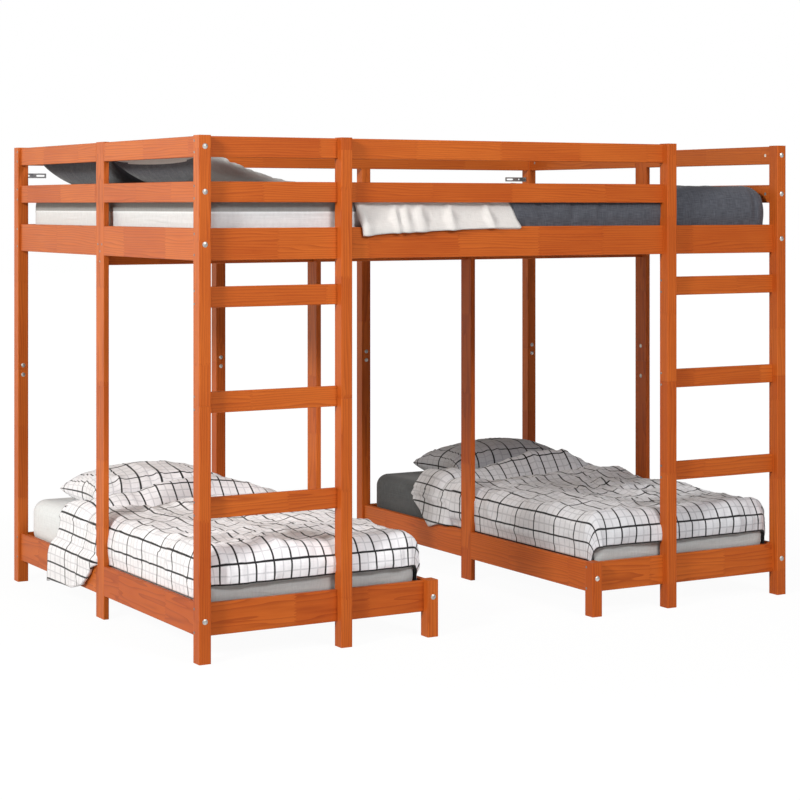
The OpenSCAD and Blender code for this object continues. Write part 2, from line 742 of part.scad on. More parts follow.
pillow_gap = 6; // room round the pillows
low_pillow_y = all_l - pillow_to_head - low_pillow_l;
low_quilt_l = low_pillow_y - pillow_gap / 2;
low_ear = all_l - bare_head - low_quilt_l;
low_rail_rise = low_rail_top - bed_top;
deck_rail_rise = deck_rail_top - deck_top;
low_head_rows = [for (k = [4 : -1 : 0]) low_quilt_l - roll_profile[k][0]];

module low_quilt(stations) {
    quilt(low_w, stations, low_gap - 2 * clear, low_rail_rise + 5 * clear, low_gap,
          low_rail_rise, foot = end_gap - 2 * clear, roll = roll_h, ear = low_ear);
}

// The quilt on the left bed has a loose corner at the head, which hangs over the left rail.
module left_quilt() {
    hem = low_rail_rise - corner_drop;
    start = stile_y + stile_w + 4 - post_d - end_gap;
    slope = 100; // length over which the corner drops to its full depth
    stations = concat(
        [for (k = [0 : 5]) [mix(mattress_round, start - 8, k / 5), false]],
        [[start, true, low_rail_rise + 2 * clear],
         [start + slope * 0.4, true, mix(low_rail_rise, hem, 0.5)],
         [start + slope, true, hem]],
        [for (y = low_head_rows) [y, true, hem]]
    );
    color(white_cloth) at_corner() translate([side_x + low_gap, post_d + end_gap, bed_top])
        low_quilt(stations);
}

module right_quilt() {
    stations = concat(
        [for (k = [0 : 6]) [mix(mattress_round, low_head_rows[0], k / 7), false]],
        [for (y = low_head_rows) [y, false]]
    );
    color(white_cloth) at_corner()
        translate([frame_w - bed_w + side_x + low_gap, post_d + end_gap, bed_top])
            low_quilt(stations);
}

// The upper quilt runs along the front, with its foot at the right end of the deck.
deck_foot_x = frame_w - side_x - deck_gap;
fold_start = ladder_w + fold_gap;
fold_end = fold_start + fold_l;
deck_side_hem = deck_rail_rise - 16;

module on_deck() {
    at_corner() translate([deck_foot_x, post_d + end_gap, deck_top]) rotate([0, 0, 90])
        children();
}

module deck_quilt() {
    stations = [for (k = [0 : 8])
        [mix(mattress_round, deck_foot_x - fold_end - clear, k / 8), false]];
    color(dark_cloth) on_deck()
        quilt(all_l, stations, end_gap - 2 * clear, deck_side_hem, end_gap, deck_rail_rise,
              foot = deck_gap - 2 * clear);
}

// The turned-back part, white side up, comes out under the middle rail and hangs in front.
module deck_quilt_fold() {
    n = 14;
    stations = [for (k = [0 : n])
        [mix(deck_foot_x - fold_end, deck_foot_x - fold_start, k / n), true,
         deck_rail_rise - mix(2, fold_drop, k / n)]];
    color(white_cloth) on_deck()
        quilt(all_l, stations, end_gap - 2 * clear, deck_side_hem, end_gap, deck_rail_rise,
              pleat = 9);
}

module lower_mattress(right) {
    color(grey_cloth) at_corner(right)
        translate([side_x + low_gap, post_d + end_gap, bed_top]) mattress(low_w, all_l);
}

module deck_mattress() {
    color(grey_cloth) at_corner()
        translate([side_x + deck_gap, post_d + end_gap, deck_top]) mattress(deck_l, all_l);
}

// The pillow lies flat, beside the ear of the quilt.
module lower_pillow(right) {
    color(white_cloth) at_corner(right)
        translate([side_x + low_gap + ear_x[1] + 2 * pillow_gap,
                   post_d + end_gap + low_pillow_y, bed_top + mattress_h + clear])
            pillow(low_pillow_w, low_pillow_l, pillow_h - pillow_seam_h,
                   [pillow_seam_h, pillow_seam_h], 2.2);
}

// The two pillows on the deck meet in the middle and lean on the rails of the left end.
module deck_pillow(back) {
    inner_seam_h = 12;
    belly = 58;
    seat = mattress_top(pillow_gap + deck_pillow_l * 0.85, all_l); // where its flat part ends
    color(grey_cloth) at_corner() to_back(back)
        translate([side_x + deck_gap + pillow_gap, mid_y - pillow_gap - deck_pillow_w,
                   deck_top + seat + clear])
            pillow(deck_pillow_l, deck_pillow_w, belly,
                   [inner_seam_h + pillow_lean, inner_seam_h], 1.15);
}

module front_left_post() corner_post(false, false);
module front_right_post() corner_post(true, false);
module left_ladder_post() ladder_post(false, ALL);
module right_ladder_post() ladder_post(true, [FOOT, DECK]);
module left_short_post() short_post(false);
module right_short_post() short_post(true);
module back_left_post() corner_post(false, true);
module back_right_post() corner_post(true, true);
module left_inner_back_post() inner_back_post(false);
module right_inner_back_post() inner_back_post(true);
module left_stile() outer_stile(false);
module right_stile() outer_stile(true);
module left_beam_stile() beam_stile(false);
module right_beam_stile() beam_stile(true);
module front_deck_rail() cross_board(left_x, right_x, DECK);
module front_middle_rail() cross_board(left_x, right_ladder_x, MIDDLE);
module front_top_rail() cross_board(left_x, right_ladder_x, TOP);
module back_deck_rail() cross_board(left_x, right_x, DECK, back = true);
module back_middle_rail() cross_board(left_x, right_x, MIDDLE, back = true);
module back_top_rail() cross_board(left_x, right_x, TOP, back = true);
module left_deck_rails() at_corner(false) side_boards([DECK]);
module left_guard_rails() at_corner(false) side_boards([MIDDLE, TOP]);
module right_deck_rails() at_corner(true) side_boards([DECK]);
module right_guard_rails() at_corner(true) side_boards([MIDDLE, TOP]);
module left_bed_foot_rail() cross_board(left_x, short_post_x, FOOT);
module left_bed_head_rail() cross_board(left_x, short_post_x, FOOT, back = true);
module left_bed_outer_rails() at_corner(false) side_boards(LOW);
module left_bed_inner_rails() at_corner(false) to_inner(true) side_boards(LOW);
module right_bed_foot_rail() cross_board(left_x, short_post_x, FOOT, right = true);
module right_bed_head_rail() cross_board(left_x, short_post_x, FOOT, back = true, right = true);
module right_bed_outer_rails() at_corner(true) side_boards(LOW);
module right_bed_inner_rails() at_corner(true) to_inner(true) side_boards(LOW);
module left_ladder_rungs() ladder_rungs(false);
module right_ladder_rungs() ladder_rungs(true);
module left_bed_slats() lower_slats(false);
module right_bed_slats() lower_slats(true);
module left_mattress() lower_mattress(false);
module right_mattress() lower_mattress(true);
module left_pillow() lower_pillow(false);
module right_pillow() lower_pillow(true);
module deck_front_pillow() deck_pillow(false);
module deck_back_pillow() deck_pillow(true);

front_left_post();
front_right_post();
left_ladder_post();
right_ladder_post();
left_short_post();
right_short_post();
back_left_post();
back_right_post();
left_inner_back_post();
right_inner_back_post();
left_stile();
right_stile();
left_beam_stile();
right_beam_stile();
front_deck_rail();
front_middle_rail();
front_top_rail();
back_deck_rail();
back_middle_rail();
back_top_rail();
left_deck_rails();
left_guard_rails();
right_deck_rails();
right_guard_rails();
left_bed_foot_rail();
left_bed_head_rail();
left_bed_outer_rails();
left_bed_inner_rails();
right_bed_foot_rail();
right_bed_head_rail();
right_bed_outer_rails();
right_bed_inner_rails();
left_ladder_rungs();
right_ladder_rungs();
deck_beam();
deck_ledgers();
bed_ledgers();
deck_slats();
left_bed_slats();
right_bed_slats();
frame_bolts();
stile_studs();
barrel_nuts();
splice_pins();
splice_screws();
rail_dowels();
wall_brackets();
left_mattress();
right_mattress();
deck_mattress();
left_pillow();
right_pillow();
deck_front_pillow();
deck_back_pillow();
left_quilt();
right_quilt();
deck_quilt();
deck_quilt_fold();
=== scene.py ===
# %% [markdown]
# # A bunk bed with one wide deck over two single beds
#
# The bed was drawn in a CAD program, and every board, post and bolt comes in from there.
# In this lesson Blender gives it its looks: a camera and light, stained pine, steel, and real
# bedding in place of the plain solids. Each step says what the piece is on a real bed and how it
# is made here. Sizes are metres, +Z is up and the ladders face -Y.

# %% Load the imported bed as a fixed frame
import math

import bpy
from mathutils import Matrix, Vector, noise


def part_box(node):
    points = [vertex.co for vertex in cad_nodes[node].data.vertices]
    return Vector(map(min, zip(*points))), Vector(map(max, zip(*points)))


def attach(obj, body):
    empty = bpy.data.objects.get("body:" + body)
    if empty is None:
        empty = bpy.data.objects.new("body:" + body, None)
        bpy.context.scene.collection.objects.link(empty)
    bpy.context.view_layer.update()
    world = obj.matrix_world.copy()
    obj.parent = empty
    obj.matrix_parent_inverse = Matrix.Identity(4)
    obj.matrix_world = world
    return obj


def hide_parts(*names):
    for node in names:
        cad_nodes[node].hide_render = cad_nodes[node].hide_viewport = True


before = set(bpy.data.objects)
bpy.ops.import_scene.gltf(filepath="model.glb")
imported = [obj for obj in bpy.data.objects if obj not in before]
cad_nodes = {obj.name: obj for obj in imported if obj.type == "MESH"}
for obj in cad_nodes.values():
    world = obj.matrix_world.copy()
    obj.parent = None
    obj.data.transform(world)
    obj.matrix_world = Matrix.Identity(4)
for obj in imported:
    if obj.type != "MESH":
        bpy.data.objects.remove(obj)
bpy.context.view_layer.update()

# %% [markdown]
# ## Working by hand, in code
#
# An operator acts on whatever is selected, so each step starts with an empty selection.
# A finished piece has its place in its mesh and its object at the origin. It rides on the one
# body of this bed, which is called root.

# %% Small helpers
BED = "root"


def deselect_all():
    bpy.ops.object.select_all(action="DESELECT")


def only(piece):
    deselect_all()
    bpy.context.view_layer.objects.active = piece
    piece.select_set(True)


def edit_all(piece):
    """Starts edit mode with the whole mesh selected."""
    only(piece)
    bpy.ops.object.mode_set(mode="EDIT")
    bpy.ops.mesh.select_all(action="SELECT")


def stop_editing():
    bpy.ops.object.mode_set(mode="OBJECT")


def apply_modifiers(piece):
    only(piece)
    for modifier in list(piece.modifiers):
        bpy.ops.object.modifier_apply(modifier=modifier.name)


def settle(piece, name, materials):
    """Names a piece, puts its place into its mesh and hangs it on the bed."""
    only(piece)
    bpy.ops.object.transform_apply(location=True, rotation=True, scale=True)
    piece.name = piece.data.name = name
    piece.data.materials.clear()
    for material in materials:
        piece.data.materials.append(material)
    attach(piece, BED)
    print(name, "has", len(piece.data.polygons), "faces")


# %% [markdown]
# ## The camera
#
# A photograph of a box shows three sets of parallel edges, and from them the place and lens of
# the camera can be worked out. This one stood level, 1.26 m above the floor, and its picture
# was cropped towards the floor. A level camera with a shift keeps the posts upright too.

# %% Camera
EYE = (-3.3975, -5.9173, 1.258)
TURN = -30.062  # degrees from straight ahead, along +Y
LENS, SHIFT = 93.07, -0.24304

deselect_all()
level = (math.radians(90), 0, math.radians(TURN))
bpy.ops.object.camera_add(location=EYE, rotation=level)
camera = bpy.context.object
camera.name = "camera"
camera.data.sensor_width = 36
camera.data.lens = LENS
camera.data.shift_y = SHIFT
bpy.context.scene.camera = camera
bpy.context.scene.view_settings.view_transform = "Standard"
print("camera lens", camera.data.lens, "mm")

# %% [markdown]
# ## Nodes made in one line
#
# A material is a tree of nodes. One helper adds a node, sets its settings and fills its inputs:
# a socket is linked, and a plain value is set. Another starts a node group with named sockets.

# %% Node helpers


def add(tree, kind, inputs=(), **settings):
    made = tree.nodes.new(kind if kind.startswith("Node") else "ShaderNode" + kind)
    for key, value in settings.items():
        setattr(made, key, value)
    for key, value in dict(inputs).items():
        if isinstance(value, bpy.types.NodeSocket):
            tree.links.new(value, made.inputs[key])
        else:
            made.inputs[key].default_value = value
    return made


def maths(tree, operation, a, b=0.0, c=0.0):
    return add(tree, "Math", {0: a, 1: b, 2: c}, operation=operation).outputs[0]


def vector_maths(tree, operation, a, b=(0, 0, 0)):
    return add(tree, "VectorMath", {0: a, 1: b}, operation=operation).outputs[0]


def mixed(tree, factor, a, b):
    return add(tree, "Mix", {0: factor, 6: a, 7: b}, data_type="RGBA").outputs[2]


def ramp(tree, value, low, high, to_low=0.0, to_high=1.0, smooth=False):
    kind = "SMOOTHSTEP" if smooth else "LINEAR"
    inputs = {0: value, 1: low, 2: high, 3: to_low, 4: to_high}
    return add(tree, "MapRange", inputs, interpolation_type=kind).outputs[0]


def cloudy(tree, place, scale, detail, distortion=0.0):
    """A noise texture's value."""
    inputs = {"Vector": place, "Scale": scale, "Detail": detail, "Distortion": distortion}
    return add(tree, "TexNoise", inputs).outputs[0]


def new_group(name, inputs, outputs):
    """A node group, its input node and its output node; sockets are (title, kind, default)."""
    group = bpy.data.node_groups.new(name, "ShaderNodeTree")

    def socket(title, kind, way):
        kind = "NodeSocket" + kind
        return group.interface.new_socket(title, in_out=way, socket_type=kind)

    for title, kind, default in inputs:
        made = socket(title, kind, "INPUT")
        if default is not None:
            made.default_value = default
    for title, kind in outputs:
        socket(title, kind, "OUTPUT")
    return group, add(group, "NodeGroupInput").outputs, add(group, "NodeGroupOutput").inputs


def place_group(tree, group, inputs):
    return add(tree, "Group", inputs, node_tree=group).outputs


def colour(r, g, b):
    """A colour as it looks on screen, 0 to 255, in Blender's linear values."""
    values = [v / 255 for v in (r, g, b)]
    return [v / 12.92 if v < 0.04045 else ((v + 0.055) / 1.055) ** 2.4 for v in values] + [1]


def new_material(name):
    """A material with an empty tree but for its shader and its output."""
    material = bpy.data.materials.new(name)
    material.use_nodes = True
    tree = material.node_tree
    tree.nodes.clear()
    shader = add(tree, "BsdfPrincipled")
    add(tree, "OutputMaterial", {"Surface": shader.outputs[0]})
    return material, tree, shader


def link(tree, source, shader, socket):
    tree.links.new(source, shader.inputs[socket])


print("node helpers ready")

# %% [markdown]
# ## Light and floor
#
# Product pictures of furniture are lit by a large soft lamp on the left, weaker ones and white
# walls all round, so the sides that face left are the palest and nothing is quite black. Three
# area lamps and a plain world do the same. The floor is white to the camera, with a faint shadow.

# %% World, lamps and floor
FILL = 0.19  # the walls' light on the bed, where their own brightness is 1
FADE_FROM, FADE_TO = 1.4, 3.6  # the floor's shadow fades out between these distances

world = bpy.data.worlds.new("studio")
bpy.context.scene.world = world
world.use_nodes = True
tree = world.node_tree
tree.nodes.clear()
rays = add(tree, "LightPath").outputs
strength = ramp(tree, rays["Is Camera Ray"], 0.0, 1.0, FILL, 1.0)
backdrop = add(tree, "Background", {"Color": (1, 1, 1, 1), "Strength": strength})
add(tree, "OutputWorld", {"Surface": backdrop.outputs[0]})


def lamp(name, place, towards, size, watts, tint=(1, 1, 1)):
    deselect_all()
    bpy.ops.object.light_add(type="AREA", location=place)
    made = bpy.context.object
    made.name = name
    made.data.shape = "DISK"
    made.data.size = size
    made.data.energy = watts
    made.data.color = tint
    way = Vector(towards) - Vector(place)
    made.rotation_euler = way.to_track_quat("-Z", "Y").to_euler()


lamp("key_lamp", (-6.2, -2.8, 3.8), (0, 0, 0.7), 1.4, 400, (1.0, 1.0, 0.97))
lamp("front_lamp", (0.6, -6.6, 4.6), (0, 0, 0.6), 1.8, 300)
lamp("grazing_lamp", (-4.5, 4.5, 2.0), (-0.5, 0, 0.8), 4.0, 135, (1.0, 0.94, 0.80))

deselect_all()
bpy.ops.mesh.primitive_plane_add(size=60)
floor = bpy.context.object
floor.name = "floor"
floor_paint = bpy.data.materials.new("floor_paint")
floor_paint.use_nodes = True
tree = floor_paint.node_tree
tree.nodes.clear()
rays = add(tree, "LightPath").outputs
seen = maths(tree, "ADD", rays["Is Camera Ray"], rays["Is Glossy Ray"])
seen = maths(tree, "MINIMUM", maths(tree, "ADD", seen, rays["Is Transmission Ray"]), 1.0)
matt = add(tree, "BsdfDiffuse", {"Color": (0.6, 0.6, 0.6, 1)})
white = add(tree, "Emission", {"Color": (1, 1, 1, 1), "Strength": 1.03})
place = add(tree, "TexCoord").outputs["Object"]
middle = add(tree, "VectorMath", {0: place}, operation="LENGTH").outputs["Value"]
share = ramp(tree, middle, FADE_FROM, FADE_TO, 0.93, 1.0, smooth=True)
share = maths(tree, "MULTIPLY", seen, share)
shown = add(tree, "MixShader", {0: share, 1: matt.outputs[0], 2: white.outputs[0]})
add(tree, "OutputMaterial", {"Surface": shown.outputs[0]})
floor.data.materials.append(floor_paint)
print("world, three lamps and the floor")

# %% [markdown]
# ## Stained pine
#
# The boards are finger-jointed: short lengths of pine are glued end to end with small zigzag
# fingers, so the tone steps along each board. A stain lets the growth lines show through, and
# wax gives a low sheen. A picture of wood would stretch and repeat, so the board is built from
# noise: cells along the grain for the lengths, rings about a pith for the growth lines, and
# fine streaks. It is one node group, because stained and plain boards differ in values only.

# %% Group: finger-jointed board
FINGER, SLOPE = 0.0045, 2.2  # half a finger's width, and the slope of its sides
RING = 0.0058  # from one growth line to the next
GLUE = 0.004  # half the dark line at a joint, as a share of a length
APART = 37.0  # how far along the noise two boards can lie

board, given, result = new_group(
    "finger_jointed_board",
    [
        ("Vector", "Vector", None),
        ("Board Size", "Vector", (1, 1, 1)),
        ("Board Start", "Vector", (0, 0, 0)),
        ("Length", "Float", 0.3),
        ("Pale", "Color", (1, 1, 1, 1)),
        ("Deep", "Color", (0, 0, 0, 1)),
        ("Line", "Color", (0, 0, 0, 1)),
        ("Steps", "Float", 0.42),
        ("Lines", "Float", 0.5),
    ],
    [("Color", "Color"), ("Roughness", "Float"), ("Height", "Float")],
)
boards = vector_maths(board, "SUBTRACT", given["Vector"], given["Board Start"])
boards = vector_maths(board, "FLOOR", vector_maths(board, "DIVIDE", boards, given["Board Size"]))
seed = add(board, "TexWhiteNoise", {"Vector": boards}, noise_dimensions="3D").outputs["Value"]
axes = add(board, "SeparateXYZ", {0: given["Vector"]}).outputs
fingers = maths(board, "PINGPONG", maths(board, "ADD", axes["X"], axes["Y"]), FINGER)
along = maths(board, "MULTIPLY_ADD", fingers, SLOPE, axes["Z"])
place = maths(board, "DIVIDE", along, given["Length"])
place = maths(board, "MULTIPLY_ADD", seed, APART, place)
cells = {"W": place, "Scale": 1.0, "Randomness": 0.75}
lengths = add(board, "TexVoronoi", cells, voronoi_dimensions="1D")
joints = add(board, "TexVoronoi", cells, voronoi_dimensions="1D", feature="DISTANCE_TO_EDGE")
pick = add(board, "SeparateColor", {0: lengths.outputs["Color"]}).outputs
shift_x = maths(board, "MULTIPLY_ADD", pick[0], 0.16, -0.11)
shift_y = maths(board, "MULTIPLY_ADD", pick[1], 0.12, 0.015)
shift = add(board, "CombineXYZ", {0: shift_x, 1: shift_y, 2: pick[2]}).outputs[0]
grain_place = vector_maths(board, "ADD", given["Vector"], shift)
long_place = vector_maths(board, "MULTIPLY", grain_place, (1, 1, 0.08))
sway = cloudy(board, long_place, 24.0, 2.0)
across = add(board, "SeparateXYZ", {0: grain_place}).outputs
flat_place = add(board, "CombineXYZ", {0: across["X"], 1: across["Y"]}).outputs[0]
radius = add(board, "VectorMath", {0: flat_place}, operation="LENGTH").outputs["Value"]
radius = maths(board, "MULTIPLY_ADD", sway, 0.03, radius)
ring = maths(board, "FRACT", maths(board, "DIVIDE", radius, RING))
late = maths(board, "POWER", ring, 2.6)
late = maths(board, "MULTIPLY", late, ramp(board, ring, 0.97, 1.0, 1.0, 0.0))
streak_place = vector_maths(board, "MULTIPLY", grain_place, (1, 1, 0.02))
streaks = cloudy(board, streak_place, 420.0, 3.0)
cloud_place = vector_maths(board, "MULTIPLY", grain_place, (1, 1, 0.3))
clouds = cloudy(board, cloud_place, 14.0, 2.0)
tone = maths(board, "MULTIPLY", maths(board, "SUBTRACT", pick[2], 0.5), given["Steps"])
tone = maths(board, "MULTIPLY_ADD", maths(board, "SUBTRACT", streaks, 0.5), 0.5, tone)
tone = maths(board, "MULTIPLY_ADD", maths(board, "SUBTRACT", clouds, 0.5), 0.7, tone)
tone = ramp(board, tone, -0.5, 0.5)
base = mixed(board, tone, given["Deep"], given["Pale"])
lined = maths(board, "MULTIPLY", late, given["Lines"])
glue = ramp(board, joints.outputs["Distance"], 0.0, GLUE, 0.5, 0.0)
lined = maths(board, "MAXIMUM", lined, glue)
base = mixed(board, lined, base, given["Line"])
board.links.new(base, result["Color"])
board.links.new(ramp(board, streaks, 0.2, 0.8, 0.44, 0.58), result["Roughness"])
height = maths(board, "MULTIPLY_ADD", streaks, 0.6, maths(board, "MULTIPLY", late, 0.4))
board.links.new(height, result["Height"])
print("board group has", len(board.nodes), "nodes")

# %% [markdown]
# ### One material for each way that a board can run
#
# The group expects the grain along Z. Posts stand that way, and for rails the three axes are
# put in another order first. Board Size and Board Start split space into boxes, so that each
# board, and each half of a post, draws its own row of lengths.

# %% Pine materials
WAX = {"Pale": colour(200, 104, 37), "Deep": colour(168, 72, 20), "Line": colour(122, 39, 7)}
PLANED = {"Pale": colour(232, 198, 150), "Deep": colour(206, 160, 108),
          "Line": colour(172, 120, 72)}
ORDER = {"x": ("Y", "Z", "X"), "y": ("X", "Z", "Y"), "z": ("X", "Y", "Z")}


def pine(name, grain, look, size, start, wax=0.08):
    material, tree, shader = new_material(name)
    axes = add(tree, "SeparateXYZ", {0: add(tree, "TexCoord").outputs["Object"]}).outputs
    order = {i: axes[axis] for i, axis in enumerate(ORDER[grain])}
    place = add(tree, "CombineXYZ", order).outputs[0]
    inputs = {"Vector": place, "Board Size": size, "Board Start": start, **look}
    wood = place_group(tree, board, inputs)
    link(tree, wood["Color"], shader, "Base Color")
    link(tree, wood["Roughness"], shader, "Roughness")
    bump = add(tree, "Bump", {"Height": wood["Height"], "Strength": 0.35, "Distance": 0.0006})
    link(tree, bump.outputs[0], shader, "Normal")
    shader.inputs["Specular IOR Level"].default_value = 0.14
    shader.inputs["Coat Weight"].default_value = wax
    shader.inputs["Coat Roughness"].default_value = 0.35
    return material


LEVELS = 0.145  # height of a box that holds one level of rails
post_pine = pine("pine_posts", "z", WAX, (0.4, 0.7, 0.7082), (0, 0.35, 0))
front_pine = pine("pine_along_front", "x", WAX, (0.7, LEVELS, 9), (0.35, 0.055, -4))
side_pine = pine("pine_along_sides", "y", WAX, (0.65, LEVELS, 9), (0, 0.055, -9))
deck_slat_pine = pine("pine_deck_slats", "y", PLANED, (0.11918, 9, 9), (0.0149, 0, -4), wax=0.0)
bed_slat_pine = pine("pine_bed_slats", "x", PLANED, (0.12818, 9, 0.7), (0, 0, -1.4), wax=0.0)
ledger_pine = pine("pine_strips", "y", PLANED, (0.2, 9, 9), (0, 0, -4), wax=0.0)
print("six pine materials")

# %% Steel materials
DULL = colour(150, 150, 150)


def steel(name, tint, roughness, scratches, metal):
    material, tree, shader = new_material(name)
    place = add(tree, "TexCoord").outputs["Object"]
    specks = cloudy(tree, place, 900.0, 3.0)
    worn = ramp(tree, cloudy(tree, place, 60.0, 2.0), 0.3, 0.7)
    link(tree, mixed(tree, worn, tint, DULL), shader, "Base Color")
    rough = ramp(tree, specks, 0.3, 0.7, roughness - 0.06, roughness + 0.1)
    link(tree, rough, shader, "Roughness")
    bump = add(tree, "Bump", {"Height": specks, "Strength": scratches, "Distance": 0.0002})
    link(tree, bump.outputs[0], shader, "Normal")
    shader.inputs["Metallic"].default_value = metal
    return material


zinc = steel("zinc_plated_steel", colour(220, 217, 210), 0.42, 0.2, 0.7)
bracket_steel = steel("bracket_steel", colour(120, 120, 124), 0.42, 0.3, 1.0)
print("two steels")

# %% [markdown]
# ## Dressing the CAD nodes
#
# A node whose shape is right stays, and only its material slot changes. The names say which way
# the boards in it run.

# %% Materials onto the CAD nodes
STEEL_NODES = {"frame_bolts": zinc, "stile_studs": zinc, "barrel_nuts": zinc,
               "splice_pins": zinc, "splice_screws": zinc, "wall_brackets": bracket_steel}
PLAIN_NODES = {"deck_slats": deck_slat_pine, "left_bed_slats": bed_slat_pine,
               "right_bed_slats": bed_slat_pine, "bed_ledgers": ledger_pine,
               "deck_ledgers": bed_slat_pine, "rail_dowels": ledger_pine}
ALONG_Y = ("deck_rails", "guard_rails", "outer_rails", "inner_rails")


def wood_for(name):
    if name.endswith(("post", "stile")):
        return post_pine
    return side_pine if name.endswith(ALONG_Y) else front_pine


def is_soft(name):
    return name.endswith(("mattress", "pillow", "quilt", "fold"))


for name, node in cad_nodes.items():
    if is_soft(name):
        continue
    finish = STEEL_NODES.get(name) or PLAIN_NODES.get(name) or wood_for(name)
    if not node.data.materials:
        node.data.materials.append(finish)
    for slot in node.material_slots:
        slot.material = finish
print("nodes dressed:", sum(not is_soft(name) for name in cad_nodes))

# %% [markdown]
# ## Cloth
#
# Woven cotton shows a fine net of threads close up and soft tone changes further off. The weave
# is two crossed waves on the cloth's own UV map, which is laid out in metres of real cloth. The
# window-pane check is a common pattern: black lines one way, black lines twice as far apart the
# other way, faint grey lines between them and a black hem. It follows the UV map too, so it
# bends with the folds.

# %% Group: woven threads
weave, given, result = new_group(
    "woven_threads",
    [("Vector", "Vector", None), ("Pitch", "Float", 0.0012), ("Slub", "Float", 0.5)],
    [("Height", "Float"), ("Tone", "Float")],
)
thread = vector_maths(weave, "SCALE", given["Vector"])
weave.links.new(maths(weave, "DIVIDE", math.pi, given["Pitch"]), thread.node.inputs["Scale"])
axes = add(weave, "SeparateXYZ", {0: thread}).outputs
over_one = maths(weave, "ABSOLUTE", maths(weave, "SINE", axes["X"]))
over_two = maths(weave, "ABSOLUTE", maths(weave, "SINE", axes["Y"]))
slub_place = vector_maths(weave, "MULTIPLY", given["Vector"], (1, 0.06, 1))
slub_a = cloudy(weave, slub_place, 500.0, 2.0)
slub_place = vector_maths(weave, "MULTIPLY", given["Vector"], (0.06, 1, 1))
slub_b = cloudy(weave, slub_place, 500.0, 2.0)
slubs = maths(weave, "ADD", slub_a, slub_b)
crossed = maths(weave, "ADD", over_one, over_two)
height = maths(weave, "MULTIPLY_ADD", slubs, given["Slub"], crossed)
weave.links.new(height, result["Height"])
weave.links.new(ramp(weave, slubs, 0.7, 1.3, 0.0, 1.0), result["Tone"])
print("weave group has", len(weave.nodes), "nodes")

# %% Group: window-pane check
HEM_AT, HEM_W = -0.053, 0.0045  # where a quilt's hem lies on the check, and its width
GREY_SHARE = 0.36
BLACK = colour(14, 14, 18)

check, given, result = new_group(
    "window_pane_check",
    [
        ("Vector", "Vector", None),
        ("Wide", "Float", 0.055),
        ("Long", "Float", 0.11),
        ("Thickness", "Float", 0.0054),
    ],
    [("Black", "Float"), ("Grey", "Float")],
)


def stripes(tree, place, pitch, thickness):
    """1 on lines of that thickness, a pitch apart, and 0 between them."""
    off_line = maths(tree, "PINGPONG", place, maths(tree, "DIVIDE", pitch, 2.0))
    half = maths(tree, "DIVIDE", thickness, 2.0)
    return ramp(tree, off_line, maths(tree, "MULTIPLY", half, 0.7),
                maths(tree, "MULTIPLY", half, 1.3), 1.0, 0.0)


axes = add(check, "SeparateXYZ", {0: given["Vector"]}).outputs
thinner = maths(check, "MULTIPLY", given["Thickness"], 0.75)
black_a = stripes(check, axes["X"], given["Wide"], given["Thickness"])
black_b = stripes(check, axes["Y"], given["Long"], given["Thickness"])
hem = maths(check, "LESS_THAN", axes["Y"], HEM_AT + HEM_W)
grey_a = stripes(check, axes["X"], maths(check, "DIVIDE", given["Wide"], 2.0), thinner)
grey_b = stripes(check, axes["Y"], maths(check, "DIVIDE", given["Long"], 4.0), thinner)
black = maths(check, "MAXIMUM", maths(check, "MAXIMUM", black_a, black_b), hem)
check.links.new(black, result["Black"])
check.links.new(maths(check, "MAXIMUM", grey_a, grey_b), result["Grey"])
print("check group has", len(check.nodes), "nodes")

# %% Cloth materials


def cloth(name, pale, shade, pitch=0.0012, checked=None, crease=0.5):
    material, tree, shader = new_material(name)
    places = add(tree, "TexCoord").outputs
    threads = place_group(tree, weave, {"Vector": places["UV"], "Pitch": pitch})
    soft = cloudy(tree, places["UV"], 26.0, 3.0, 0.6)
    base = mixed(tree, threads["Tone"], colour(*shade), colour(*pale))
    if checked:
        lines = place_group(tree, check, {"Vector": places["UV"]})
        grey = maths(tree, "MULTIPLY", lines["Grey"], GREY_SHARE)
        base = mixed(tree, grey, base, colour(*checked))
        base = mixed(tree, lines["Black"], base, BLACK)
    link(tree, base, shader, "Base Color")
    link(tree, ramp(tree, soft, 0.3, 0.7, 0.82, 0.95), shader, "Roughness")
    folds = add(tree, "Bump", {"Height": soft, "Strength": crease, "Distance": 0.004})
    fine = add(tree, "Bump", {"Height": threads["Height"], "Strength": 0.3, "Distance": 0.0003,
                              "Normal": folds.outputs[0]})
    link(tree, fine.outputs[0], shader, "Normal")
    shader.inputs["Sheen Weight"].default_value = 0.2
    shader.inputs["Sheen Roughness"].default_value = 0.4
    return material


check_cotton = cloth("check_cotton", (241, 239, 242), (229, 227, 231), checked=(138, 138, 146))
# The next two are darker copies of the check cotton: painted shade from the deck over the right
# bed's quilt and pillow.
check_painted_shade = cloth("check_cotton_painted_shade", (212, 212, 216), (200, 200, 204), checked=(120, 120, 128))
shaded_check = cloth("shaded_check_cotton", (172, 172, 177), (160, 160, 165),
                     checked=(112, 112, 118))
pale_cover = cloth("pale_mattress_cover", (226, 228, 230), (214, 216, 218), 0.0018)
# Painted shade: the foot ends of the low mattresses take a grey copy of the pale cover, as they
# get less light than the sides that face the key lamp.
foot_painted_shade = cloth("mattress_foot_painted_shade", (190, 193, 193), (178, 181, 181), 0.0018)
# Painted shade: a darker band of cover for the deck mattress above its seam, where the middle
# rail's shadow falls.
band_painted_shade = cloth("shaded_mattress_band", (150, 150, 149), (138, 138, 137), 0.0018)
# Painted shade: the right mattress's cover is the pale cover darkened for the deck's shadow over
# it.
cover_painted_shade = cloth("mattress_painted_shade", (76, 78, 80), (62, 64, 66), 0.0018)
pale_cotton = cloth("pale_cotton", (212, 208, 205), (200, 196, 193))
dark_cotton = cloth("dark_cotton", (84, 86, 94), (52, 54, 62), 0.0016, crease=0.7)
print("nine cloths")

